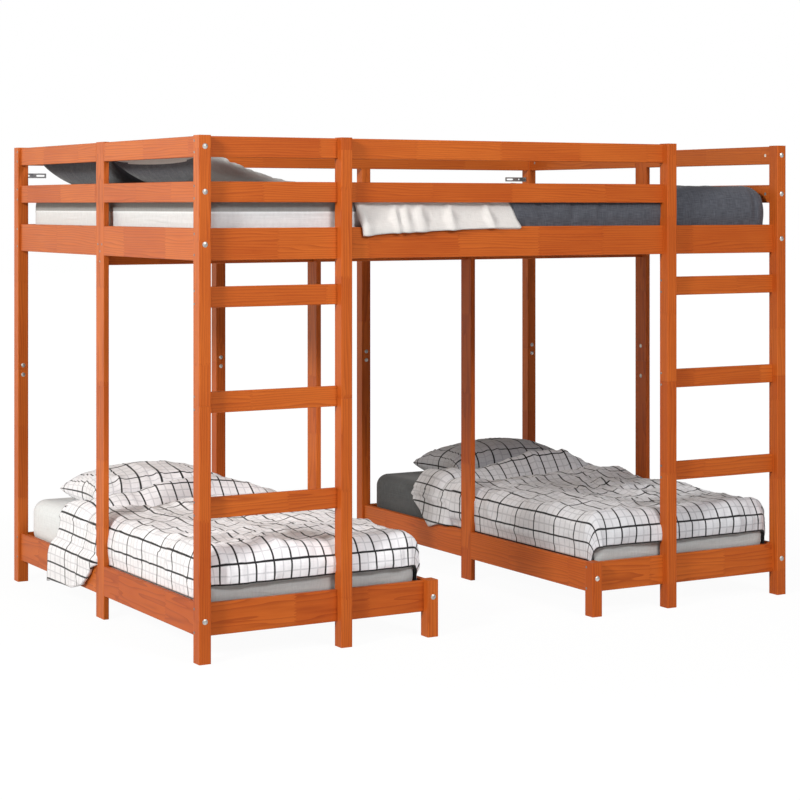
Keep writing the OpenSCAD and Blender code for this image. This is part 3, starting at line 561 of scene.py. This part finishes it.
# %% [markdown]
# ## Mattresses
#
# A mattress is a block of foam in a woven cover, with rounded corners and edges and a top that
# crowns a little. It starts as a cube. Its upright edges are bevelled first and its rims after
# that, which is how a cover pulls the foam round. The top then falls slightly to its rims.

# %% Mattress
MATTRESS_H = 0.150
PLAN_ROUND = 0.045
EDGE_ROUND = 0.042
CROWN = 0.003
TINY = 1e-6
DECK_SEAM = 0.090  # height of the seam round the deck's mattress
PIPING = 0.001697  # how far the seam stands out

deck_low, deck_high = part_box("deck_mattress")


def select_by(piece, kind, test):
    """In edit mode, selects only the edges or faces for which the test holds."""
    stop_editing()
    mesh = piece.data
    for group in (mesh.vertices, mesh.edges, mesh.polygons):
        group.foreach_set("select", [False] * len(group))
    for item in getattr(mesh, kind):
        item.select = test(mesh, item)
    bpy.ops.object.mode_set(mode="EDIT")


def ends(mesh, edge):
    return [mesh.vertices[i].co for i in edge.vertices]


def is_upright(mesh, edge):
    a, b = ends(mesh, edge)
    return abs(a.x - b.x) < TINY and abs(a.y - b.y) < TINY


def on_rim(mesh, edge):
    a, b = ends(mesh, edge)
    return abs(a.z - b.z) < TINY and abs(abs(a.z) - MATTRESS_H / 2) < TINY


def box_uv(piece):
    """Lays each face out flat in metres, along the axes that it faces least."""
    layer = piece.data.uv_layers.new(name="cloth")
    for face in piece.data.polygons:
        axes = sorted(range(3), key=lambda axis: abs(face.normal[axis]))
        u, v = sorted(axes[:2])
        for corner in face.loop_indices:
            place = piece.data.vertices[piece.data.loops[corner].vertex_index].co
            layer.data[corner].uv = (place[u], place[v])


def make_mattress(name, node, materials, second, seam_z=None):
    """second(face) says which faces take the second material."""
    low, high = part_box(node)
    size = high - low
    deselect_all()
    bpy.ops.mesh.primitive_cube_add(size=1, scale=(size.x, size.y, MATTRESS_H))
    piece = bpy.context.object
    bpy.ops.object.transform_apply(location=True, rotation=True, scale=True)
    edit_all(piece)
    bpy.ops.mesh.select_mode(type="EDGE")
    select_by(piece, "edges", is_upright)
    bpy.ops.mesh.bevel(offset=PLAN_ROUND, segments=8, profile=0.5)
    select_by(piece, "edges", on_rim)
    bpy.ops.mesh.bevel(offset=EDGE_ROUND, segments=7, profile=0.5)
    stop_editing()
    cut_flat_faces(piece)
    if seam_z:
        add_seam(piece, seam_z - MATTRESS_H / 2)
    for vertex in piece.data.vertices:
        co = vertex.co
        if co.z > 0:
            share = (1 - (2 * co.x / size.x) ** 2) * (1 - (2 * co.y / size.y) ** 2)
            co.z -= CROWN * (1 - max(0.0, share))
    bpy.ops.object.shade_smooth()
    piece.location = (low + high) / 2
    piece.location.z = low.z + MATTRESS_H / 2
    settle(piece, name, materials)
    box_uv(piece)
    for face in piece.data.polygons:
        face.material_index = 1 if second(face) else 0
    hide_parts(node)


def cut_flat_faces(piece, steps=12):
    """Cuts the two large flat faces into a grid, so that the top can crown."""
    edit_all(piece)
    bpy.ops.mesh.select_mode(type="FACE")
    for axis in range(2):
        reach = max(v.co[axis] for v in piece.data.vertices) - PLAN_ROUND - 0.02
        for k in range(steps + 1):
            cut, normal = [0, 0, 0], [0, 0, 0]
            cut[axis] = -reach + 2 * reach * k / steps
            normal[axis] = 1
            bpy.ops.mesh.select_all(action="SELECT")
            bpy.ops.mesh.bisect(plane_co=cut, plane_no=normal)
    stop_editing()


def add_seam(piece, z):
    """Cuts the sides just above and below a seam, and raises the strip between as piping."""
    edit_all(piece)
    for step in (-0.004, -0.0015, 0.0015, 0.004):
        bpy.ops.mesh.select_all(action="SELECT")
        bpy.ops.mesh.bisect(plane_co=(0, 0, z + step), plane_no=(0, 0, 1))
    stop_editing()
    for vertex in piece.data.vertices:
        if abs(vertex.co.z - z) < 0.002:
            vertex.co += vertex.normal * PIPING


# The foot-end faces, which take the grey of painted shade.
def faces_foot(face):
    return face.normal.y < -0.7


# Faces above the seam, which take the painted shade of the middle rail.
def above_seam(face):
    return face.center.z > deck_low.z + DECK_SEAM


make_mattress("left_bed_mattress", "left_mattress", [pale_cover, foot_painted_shade], faces_foot)
# The right mattress is dark with painted shade from the deck.
make_mattress("right_bed_mattress", "right_mattress", [cover_painted_shade, foot_painted_shade], faces_foot)
make_mattress("deck_bed_mattress", "deck_mattress", [pale_cover, band_painted_shade], above_seam,
              DECK_SEAM)

# %% [markdown]
# ## Pillows
#
# A pillow is two rectangles of cotton sewn round the rim and stuffed: it is high in the middle,
# thin at the rim, and its sides draw in between pointed corners.

# %% Pillow
PULL = 0.10  # the share by which the middle of a side draws in


def smooth(t):
    """0 below 0, 1 above 1, and a soft step between."""
    t = min(1.0, max(0.0, t))
    return t * t * (3 - 2 * t)


def lerp(a, b, t):
    return a + (b - a) * t


def bell(x, width):
    return math.exp(-((x / width) ** 2))


def swell(a, b):
    """How full a pillow is: 1 in the middle and 0 at the rim, where a or b is 1 or -1."""
    return max(0.0, (1 - a * a) * (1 - b * b)) ** 0.4


def crest(x, y, z):
    """Noise with sharp crests, 0 to 1, for creases in cloth."""
    return max(0.0, 1 - 2.6 * abs(noise.noise(Vector((x, y, z))))) ** 2


def make_pillow(name, node, materials, slot, belly, seams, flat, fall, seed, cells=84):
    """belly is the height of the stuffing, seams the heights of the rim at the low-X and at the
    high-X side, flat how soon the underside reaches the bed, and fall the share of the stuffing
    that has slipped from the high-X side."""
    low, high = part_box(node)
    w, l, _ = high - low
    deselect_all()
    bpy.ops.mesh.primitive_grid_add(x_subdivisions=cells, y_subdivisions=cells, size=2)
    piece = bpy.context.object
    uv = piece.data.uv_layers.active
    uv.name = "cloth"
    for corner in uv.data:
        corner.uv = (corner.uv[0] * w * 1.1, corner.uv[1] * l * 1.2 + 0.03)
    edit_all(piece)
    bpy.ops.mesh.duplicate()
    bpy.ops.mesh.flip_normals()
    stop_editing()
    count = len(piece.data.vertices) // 2
    for i, vertex in enumerate(piece.data.vertices):
        under = i >= count
        a, b = math.sin(vertex.co.x * math.pi / 2), math.sin(vertex.co.y * math.pi / 2)
        x = w / 2 * (1 + a * (1 - PULL * (1 - b * b)))
        y = l / 2 * (1 + b * (1 - PULL * (1 - a * a)))
        seam = seams[1] + (seams[0] - seams[1]) * ((1 - a) / 2) ** 1.5
        full = swell(a, b)
        if under:
            z = seam * max(0.0, 1 - flat * full)
        else:
            rim = full * (1 - full) * 4
            along = a * 5 if abs(b) > abs(a) else b * 5
            pucker = crest(along * 1.3, rim * 0.6, seed) * 0.006 * rim
            crease = crest(x * 7 + y * 5, y * 6 - x * 3, seed + 3) * 0.007 * full
            dent = noise.noise(Vector((x * 6, y * 6, seed))) * 0.009 * full
            slipped = 1 - fall * smooth((a + 0.75) / 1.3)
            z = seam + (belly * full + dent + crease - 0.009 * full) * slipped + pucker
        vertex.co = (x, y, z)
    edit_all(piece)
    bpy.ops.mesh.remove_doubles(threshold=0.00005)
    bpy.ops.mesh.normals_make_consistent(inside=False)
    stop_editing()
    bpy.ops.object.shade_smooth()
    piece.location = low
    settle(piece, name, materials)
    # Faces that slope down towards ±X take the last material: on the deck's near pillow that is
    # the dark cotton, as painted shade on its underside.
    for face in piece.data.polygons:
        behind = face.normal.z < -0.15 and abs(face.normal.x) >= abs(face.normal.y)
        face.material_index = len(materials) - 1 if behind else 0
    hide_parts(node)


low_form = (0.090, (0.040, 0.040), 2.2, 0.0)
deck_form = (0.058, (0.100, 0.012), 1.15, 0.8)
make_pillow("left_bed_pillow", "left_pillow", [check_cotton], "check_cotton", *low_form, 1.0)
# The right pillow's darker check is painted shade from the deck above it.
make_pillow("right_bed_pillow", "right_pillow", [shaded_check], "check_cotton", *low_form, 2.0)
# The near pillow's underside is dark cotton as painted shade.
make_pillow("deck_near_pillow", "deck_front_pillow", [pale_cotton, dark_cotton], "pale_cotton",
            *deck_form, 3.0)
make_pillow("deck_far_pillow", "deck_back_pillow", [dark_cotton], "dark_cotton",
            *deck_form, 4.0)

# %% [markdown]
# ## Quilts
#
# A quilt drapes over the mattress: flat on top with soft rucks, over the rounded edges, and
# down into the gap beside the rails. A grid as large as the cloth is bent over the mattress in
# code, so its UV map stays in metres of cloth, and the check runs true over every edge. A
# second layer is then grown inwards with Solidify, thin where the rails squeeze the quilt.

# %% The drape: from a place on the flat cloth to a place on the bed
TOP_T = 0.019  # thickness on top of the mattress
SIDE_T = 0.010  # thickness squeezed between mattress and rail
EDGE_Z = MATTRESS_H - EDGE_ROUND
AIR = 0.0004
REACH = EDGE_ROUND + AIR + SIDE_T
RISE = EDGE_ROUND + AIR + TOP_T
ROUND_L = math.pi / 2 * (REACH + RISE) / 2


def round_over(rho):
    """How far out, and how high above the mattress's underside, rho beyond the flat top."""
    if rho < ROUND_L:
        a = rho / ROUND_L * math.pi / 2
        return REACH * math.sin(a), EDGE_Z + RISE * math.cos(a)
    return REACH, EDGE_Z - (rho - ROUND_L)


def along_line(points, distance):
    """The point at that distance along a broken line, or past its end."""
    for a, b in zip(points, points[1:]):
        step = b - a
        if distance <= step.length or b is points[-1]:
            return a + step.normalized() * distance
        distance -= step.length


def rounded(points, rounds=3):
    """Cuts the corners of a broken line, again and again, and keeps its ends."""
    points = [Vector(point) for point in points]
    for _ in range(rounds):
        cut = [points[0]]
        for a, b in zip(points, points[1:]):
            cut += [a * 0.75 + b * 0.25, a * 0.25 + b * 0.75]
        points = cut + [points[-1]]
    return points


def length_of(points):
    return sum((b - a).length for a, b in zip(points, points[1:]))


print("the rounded edge takes", round(ROUND_L * 1000), "mm of cloth")

# %% Building a quilt from the drape
STEP = 0.008  # size of a cell of the grid
HEAD_ROWS = 24
UP = Vector((0, 0, 1))


def lookup(x, points):
    """The value at x between listed (x, value) points."""
    if x <= points[0][0]:
        return points[0][1]
    for (x0, a), (x1, b) in zip(points, points[1:]):
        if x <= x1:
            return lerp(a, b, (x - x0) / (x1 - x0))
    return points[-1][1]


def draped(over, e, x_edge, y, sign):
    """Cloth that lies on the mattress or is tucked down beside it: its place, its outward
    direction and how much it is squeezed. over and e are how far the cloth goes on past the
    side's and the foot's edge of the flat top."""
    rho = (over ** 4 + e ** 4) ** 0.25
    out, z = round_over(rho)
    angle = math.atan2(e, over) if rho > 0 else 0.0
    tilt = min(1.0, rho / ROUND_L) * math.pi / 2
    aside = Vector((sign * math.cos(angle), -math.sin(angle), 0))
    place = Vector((x_edge, y, z)) + aside * out
    return place, aside * math.sin(tilt) + UP * math.cos(tilt), smooth(rho / ROUND_L)


def make_quilt(name, node, material, slot, to_bed, width, length, side, foot, rests_on, crumple,
               hang=None, head=None, ear=0.0, lean=0.0, slant=None, held="draped",
               side_cells=None):
    """width and length are of the mattress under it; side and foot are how far the cloth goes
    on past the mattress's flat top. hang(y) gives the line of a part that hangs over the -X
    rail and how far the cloth follows it; head(x, over) gives the rise of the cloth at its head
    end as a line; ear and lean draw out its loose corner; slant moves its ends; crumple lifts
    it in creases."""
    flat_w = width - 2 * EDGE_ROUND
    v_low = -foot
    v_start = EDGE_ROUND if foot else 0.0
    body_l = length - v_start - (HEAD_BACK if head else 0.0)
    rows = round((body_l + foot) / STEP)
    all_rows = rows + (HEAD_ROWS if head else 0)
    side_cells = side_cells or round(side / STEP) + 4
    top_cells = round(flat_w / STEP)
    columns = top_cells + 2 * side_cells
    deselect_all()
    bpy.ops.mesh.primitive_grid_add(x_subdivisions=columns, y_subdivisions=all_rows, size=1)
    piece = bpy.context.object
    mesh = piece.data
    uv = mesh.uv_layers.active
    uv.name = "cloth"
    flat_places = []
    thin = piece.vertex_groups.new(name="thickness")
    for index, vertex in enumerate(mesh.vertices):
        i = round((vertex.co.x + 0.5) * columns)
        j = round((vertex.co.y + 0.5) * all_rows)
        v = v_low + (body_l + foot) * min(1.0, j / rows)
        e = max(0.0, -v)
        y = v_start + v if v > 0 else v_start
        if i < side_cells:
            far = 1 - i / side_cells
            u = -far * side
        elif i > side_cells + top_cells:
            far = (i - side_cells - top_cells) / side_cells
            u = flat_w + far * side
        else:
            far = 0.0
            u = (i - side_cells) / top_cells * flat_w
        over = -u if u < 0 else max(0.0, u - flat_w)
        x_edge = min(max(u, 0.0), flat_w) + EDGE_ROUND
        rise, uv_v = 0.0, v - v_low
        if head:
            if j > rows:
                line = head(x_edge - EDGE_ROUND, over)
                reach = (j - rows) / HEAD_ROWS * length_of(line)
                at = along_line(line, reach)
                y, rise, uv_v = v_start + body_l + at.x, at.y, uv_v + reach
            at_side = smooth((0.055 - x_edge - u) / 0.035)
            stretch = ear * smooth((y - length) / 0.15 + 1) * at_side
            y, uv_v = y + stretch, uv_v + stretch
        place, out, squeeze = draped(over, e, x_edge, y, -1 if u < 0 else 1)
        uv_u = u
        if hang and u < 0 and e == 0:
            line, share = hang(y)
            reach = far * length_of(line)
            at, ahead = along_line(line, reach), along_line(line, reach + 0.004)
            way = (ahead - at).normalized()
            place = lerp(place, Vector((at.x, y, at.y)), share)
            place.y += lean * share * smooth((y - length + 0.03) / 0.10) * smooth(far * 1.1)
            out = lerp(out, Vector((way.y, 0, -way.x)), share).normalized()
            squeeze = lerp(squeeze, smooth(reach / 0.08), share)
            uv_u = lerp(u, -reach, share)
        place.z += rise
        if slant:
            place.y += slant(u, y, far)
        place += out * crumple(uv_u, v, y, place)
        flat_places.append((uv_u, uv_v + HEM_AT))
        vertex.co = place
        foot_share = smooth(e / 0.05) * (1 - smooth(over / 0.05))
        squeeze = lerp(squeeze, 0.25, foot_share)
        thin.add([index], lerp(1.0, SIDE_T / TOP_T, squeeze), "REPLACE")
    for corner in range(len(mesh.loops)):
        uv.data[corner].uv = flat_places[mesh.loops[corner].vertex_index]
    for vertex in mesh.vertices:
        vertex.co = to_bed(vertex.co)
    edit_all(piece)
    bpy.ops.mesh.normals_make_consistent(inside=False)
    stop_editing()
    top = max(mesh.polygons, key=lambda face: abs(face.normal.z) - abs(face.center.x) * 0.01)
    if top.normal.z < 0:
        mesh.flip_normals()
    solid = piece.modifiers.new("second_layer", "SOLIDIFY")
    solid.thickness = TOP_T
    solid.offset = -1
    solid.vertex_group = "thickness"
    apply_modifiers(piece)
    bpy.ops.object.shade_smooth()
    settle(piece, name, [material])
    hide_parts(node)


# %% Creases, the rolled head end and the loose corner
LOW_W, LOW_QUILT_L = 0.690, 0.984
HEAD_BACK, ROLL_H = 0.100, 0.078  # how far the rolled head end reaches, and its height
RAIL_RISE = 0.032  # from the mattress's underside to the top of the rail
RAIL_GAP, BOARD_T = 0.011, 0.017
CHEEK = 0.008  # from the rail's face to the outside of the cloth over it
FOOT_HEM = 0.074
SIDE_CLOTH = ROUND_L + EDGE_Z - RAIL_RISE - 0.003
FOOT_CLOTH = ROUND_L + EDGE_Z - FOOT_HEM


def rolled_head(x, over):
    """The rise of the quilt against the pillow: a line in y and z."""
    rise = ROLL_H * math.sin(math.pi * min(1.0, (x + EDGE_ROUND) / LOW_W) ** 1.5)
    drop = -0.016 * (1 - smooth(over / 0.03))
    shape = [(0, 0), (0.025, 0.45), (0.052, 0.9), (0.078, 1.0), (0.094, 0.75), (0.100, 0.4)]
    return rounded([(d, rise * share) for d, share in shape] + [(0.0985, drop)], 2)


def over_edge(count, turn):
    """The start of a line in x and z: from the flat top round the edge, turn degrees by the
    fifth point."""
    turns = [k / 4 * math.radians(turn) for k in range(count)]
    return [(EDGE_ROUND - REACH * math.sin(a), EDGE_Z + RISE * math.cos(a)) for a in turns]


def creases(seed, rumpled):
    """Soft waves and sharp creases; rumpled(x, y) says where the cloth is most disturbed."""
    def crumple(u, v, y, place):
        a = u + noise.noise(Vector((u * 3.1 + 9.3, v * 3.1 - 1.5, seed - 7.9))) * 0.05
        b = v + noise.noise(Vector((u * 3.1 - 4.7, v * 3.1 + 6.1, seed + 2.3))) * 0.05
        more = rumpled(u, y)
        lift = noise.noise(Vector((a * 4.6, b * 4.2, seed))) * 0.015
        lift += crest(a * 5 + b * 4, b * 4 - a * 3, seed + 9) * (0.009 + 0.009 * more)
        lift += crest(a * 12 - b * 5, b * 9 + a * 6, seed + 21) * (0.004 + 0.004 * more)
        lift += noise.noise(Vector((a * 34, b * 28, seed + 4))) * 0.0016
        from_head = y - LOW_QUILT_L
        lift += 0.024 * bell(u - 0.02, 0.10) * smooth((from_head + 0.16) / 0.12)
        lift += 0.016 * bell(from_head + 0.20, 0.07)
        lift -= 0.010 * bell(from_head + 0.108, 0.014)
        if place.z < EDGE_Z + 0.02:
            lift = max(lift * 0.8, -0.001)
            if place.y < EDGE_ROUND and 0.06 < place.x < LOW_W - 0.06:
                lift += 0.006 * math.sin(math.pi * min(1.0, max(0.0, (0.15 - place.z) / 0.08)))
            else:
                tucked = -0.02 < place.x < LOW_W + 0.02
                lift *= smooth((place.z - 0.042) / 0.03) if tucked else 0.5
        return lift
    return crumple


def left_hang(y):
    """The cloth over the rail behind the flat upright: its line in x and z, and its share."""
    hem = lookup(y, [(0.70, 0.034), (0.731, 0.030), (0.754, 0.0), (0.809, -0.046),
                     (0.909, -0.070), (1.073, -0.080)])
    outside = -RAIL_GAP - BOARD_T - AIR - CHEEK
    bulge = 0.002 * math.sin(y * 31)
    points = over_edge(5, 62) + [
        (-RAIL_GAP * 0.6 - 0.006, RAIL_RISE + 0.052),
        (-RAIL_GAP - BOARD_T * 0.5, RAIL_RISE + 0.026),
        (outside + 0.001, RAIL_RISE + 0.008),
        (outside - bulge * 0.3, min(RAIL_RISE - 0.004, lerp(RAIL_RISE, hem, 0.4))),
        (outside - bulge, min(hem, RAIL_RISE - 0.008)),
    ]
    return rounded(points), smooth((y - 0.700) / 0.03)


def right_hang(y):
    """The corner of the right quilt, which was pulled out and stands over the rail in a point."""
    hem = lookup(y, [(0.76, 0.036), (0.87, 0.034), (0.925, 0.016), (0.978, 0.062),
                     (1.05, 0.098)])
    out = -0.037 + 0.016 * smooth((hem - 0.05) / 0.06)
    points = [
        (EDGE_ROUND, EDGE_Z + RISE),
        (EDGE_ROUND - 0.024, EDGE_Z + RISE - 0.004),
        (0.004, EDGE_Z + 0.036),
        (-0.016, EDGE_Z + 0.010),
        (lerp(-0.016, out, 0.6), lerp(EDGE_Z + 0.01, hem, 0.5)),
        (out, hem),
    ]
    return rounded(points), smooth((y - 0.785) / 0.03)


def left_rumple(x, y):
    """Where the left quilt is most disturbed: at the foot's near corner and towards the head."""
    return bell(x - 0.1, 0.12) * bell(y - 0.08, 0.12) + smooth((y - 0.7) / 0.2) * 0.4


def right_rumple(x, y):
    return bell(x - 0.38, 0.2) * bell(y - 0.55, 0.22)


def on_low_bed(node):
    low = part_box(node)[0]
    return lambda place: low + place


print("the quilts reach", SIDE_CLOTH, "down the sides and", FOOT_CLOTH, "down the foot")

# %% Two check quilts
LOW_SIZES = (LOW_W, LOW_QUILT_L, SIDE_CLOTH, FOOT_CLOTH)
make_quilt("left_bed_quilt", "left_quilt", check_cotton, "check_cotton",
           on_low_bed("left_mattress"), *LOW_SIZES, rests_on=["left_bed_mattress"],
           crumple=creases(3.0, left_rumple), hang=left_hang, head=rolled_head,
           ear=0.089, lean=0.045, side_cells=34)
# The right quilt's darker check is painted shade from the deck above it.
make_quilt("right_bed_quilt", "right_quilt", check_painted_shade, "check_cotton",
           on_low_bed("right_mattress"), *LOW_SIZES, rests_on=["right_bed_mattress"],
           crumple=creases(17.0, right_rumple), hang=right_hang, head=rolled_head,
           ear=0.055, lean=0.005, side_cells=28)

# %% [markdown]
# ## The quilt on the deck
#
# It has a dark side and a pale side. It lies along the deck with its foot at the right, and its
# upper part is turned back, pale side up, and pulled out over the front rail in soft pleats.

# %% Deck quilt and its fold
DECK_W = 1.390
DECK_RISE, DECK_GAP = 0.046, 0.010  # up to the deck rail's top, and across to the rail
DARK_L = deck_high.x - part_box("deck_quilt")[0].x
FOLD_L = 0.565
DECK_SIDE = ROUND_L + EDGE_Z - 0.032
DRAG = 0.055  # how far the edge between dark quilt and fold was dragged
PLEATS = (0.101, 0.241, 0.343, 0.394, 0.427, 0.548)
FOLD_HEM = [(0.009, 0.046), (0.15, 0.040), (0.289, 0.034), (0.424, 0.029), (0.565, 0.021)]


def on_deck(place):
    """From quilt coordinates, foot at y = 0, to the bed: the foot is at the right end."""
    return Vector((deck_high.x - place.y, deck_low.y + place.x, deck_low.z + place.z))


def on_deck_fold(place):
    return on_deck(Vector((place.x, place.y + DARK_L + 0.0003, place.z)))


def joint(u):
    """How far it was dragged at u across the bed: most at the mattress's front edge."""
    return DRAG * (1 - smooth(-u / 0.15 if u < 0 else u / 0.35))


def dark_slant(u, y, far):
    return joint(u) * smooth((y - DARK_L + 0.25) / 0.25)


def fold_slant(u, y, far):
    shift = joint(u) * (1 - smooth(y / 0.25))
    return shift - (0.022 * far * smooth((y - 0.44) / 0.12) if u < 0 else 0.0)


def fold_hang(y):
    """The pleated cloth over the deck rail; y runs from the dark quilt to the pillows."""
    outside = -DECK_GAP - BOARD_T - AIR - CHEEK
    width = 0.016 + 0.007 * math.sin(y * 40)
    ridge = max(bell(y - at, width) for at in PLEATS)
    wave = 0.008 * ridge
    hem = lookup(y, FOLD_HEM) - 0.002 * ridge
    points = over_edge(4, 70) + [
        (-DECK_GAP * lerp(0.5, 1.1, ridge) - 0.003, DECK_RISE + 0.060),
        (-DECK_GAP - lerp(0.002, 0.014, ridge), DECK_RISE + lerp(0.022, 0.045, ridge)),
        (-DECK_GAP - BOARD_T * lerp(0.7, 1.2, ridge), DECK_RISE + lerp(0.012, 0.022, ridge)),
        (outside - wave, DECK_RISE - 0.002),
        (outside - wave * 0.8, min(hem, DECK_RISE - 0.003)),
    ]
    return rounded(points), 1.0


def deck_creases(seed, tufts):
    """Waves on the deck quilt, and shallow channels across it where it is quilted."""
    def crumple(u, v, y, place):
        above = smooth((place.z - DECK_RISE - 0.004) / 0.03)
        free = smooth((place.z - EDGE_Z + 0.02) / 0.05)
        puff = 0.005 * above * (1 - free) if tufts else 0.0
        lift = noise.noise(Vector((u * 4.5, v * 4.0, seed))) * 0.008
        lift += crest(u * 5 + v * 3, v * 5, seed + 2) * 0.004
        lift += noise.noise(Vector((u * 18, v * 16, seed))) * 0.0015
        for at in tufts:
            wander = at + 0.012 * noise.noise(Vector((u * 3, at * 20, seed)))
            dip = bell(y - wander, 0.009)
            lift -= 0.007 * dip
            puff -= 0.006 * dip * above * (1 - free)
        return max(lift * free, -0.006) + puff
    return crumple


make_quilt("deck_dark_quilt", "deck_quilt", dark_cotton, "dark_cotton", on_deck,
           DECK_W, DARK_L, DECK_SIDE, FOOT_CLOTH, rests_on=["deck_bed_mattress"],
           crumple=deck_creases(5.0, (0.05, 0.36, 0.66, 0.76, 0.88)), slant=dark_slant)
make_quilt("deck_pale_fold", "deck_quilt_fold", pale_cotton, "pale_cotton", on_deck_fold,
           DECK_W, FOLD_L, DECK_SIDE, 0, rests_on=["deck_bed_mattress", "front_deck_rail"],
           crumple=deck_creases(8.0, ()), hang=fold_hang, slant=fold_slant, held="folded",
           side_cells=34)

# %% [markdown]
# ## Wood screws
#
# Each rail and rung meets its post with dowels and glue, and two screws from the outside of the
# post pull the joint tight. Their heads are small flat discs with a crossed recess. One head is
# modelled, and copies of it go to every joint and are joined as one piece.

# %% One screw head
HEAD_R, PROUD, SUNK = 0.0036, 0.0007, 0.0006
RECESS = (0.0046, 0.0011, 0.0009)
deselect_all()
bpy.ops.mesh.primitive_cylinder_add(vertices=20, radius=HEAD_R, depth=PROUD + SUNK,
                                    location=(0, 0, (PROUD - SUNK) / 2))
screw = bpy.context.object
bpy.ops.object.transform_apply(location=True)
edge = screw.modifiers.new("edge", "BEVEL")
edge.width, edge.segments = 0.0004, 2
apply_modifiers(screw)
for turn in (0, 90):
    deselect_all()
    bpy.ops.mesh.primitive_cube_add(size=1, location=(0, 0, PROUD), scale=RECESS,
                                    rotation=(0, 0, math.radians(turn + 20)))
    cutter = bpy.context.object
    recess = screw.modifiers.new("recess", "BOOLEAN")
    recess.operation, recess.solver, recess.object = "DIFFERENCE", "EXACT", cutter
    apply_modifiers(screw)
    only(cutter)
    bpy.ops.object.delete()
print("screw head has", len(screw.data.polygons), "faces")

# %% Screws at every joint
SCREW_Y = 0.0335  # from a post's outer edge
RAILS = [1.437, 1.405, 1.312, 1.278, 1.180, 1.122]  # heights, two for each joint
RUNGS = [1.0232, 0.9872, 0.7325, 0.6965, 0.4417, 0.4057]
FEET = [0.149, 0.084]
# The post, the side along X that its screws are on, and their heights
SCREWED = [
    ("front_left_post", -1, RAILS + RUNGS + FEET),
    ("left_ladder_post", 1, RUNGS),
    ("right_ladder_post", -1, RUNGS),
    ("right_ladder_post", 1, RAILS[:4]),
    ("front_right_post", 1, RAILS[4:] + RUNGS + FEET),
    ("left_short_post", 1, FEET),
    ("right_short_post", -1, FEET),
    ("back_left_post", -1, RAILS + FEET),
    ("back_right_post", 1, RAILS + FEET),
]


def outer_face(node, side):
    """The x of the face on that side, the lowest y and the highest y."""
    low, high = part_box(node)
    return (low.x if side < 0 else high.x), low.y, high.y


places = []
for node, side, heights in SCREWED:
    x, near, far = outer_face(node, side)
    y = far - SCREW_Y if node.startswith("back") else near + SCREW_Y
    places += [((x, y, z), side) for z in heights]
for node, side in (("left_stile", -1), ("right_stile", 1)):
    x, near, far = outer_face(node, side)
    y = (near + far) / 2
    spots = [(y - 0.016, 1.140), (y + 0.016, 1.140), (y, 1.1185), (y, 1.0875)]
    places += [((x, a, z), side) for a, z in spots]
copies = []
for place, side in places:
    only(screw)
    bpy.ops.object.duplicate()
    copy = bpy.context.object
    copy.rotation_euler = Vector((side, 0, 0)).to_track_quat("Z", "Y").to_euler()
    copy.location = place
    copies.append(copy)
only(screw)
bpy.ops.object.delete()
deselect_all()
for copy in copies:
    copy.select_set(True)
bpy.context.view_layer.objects.active = copies[0]
bpy.ops.object.join()
settle(bpy.context.object, "wood_screws", [bracket_steel])
print(len(places), "screws")
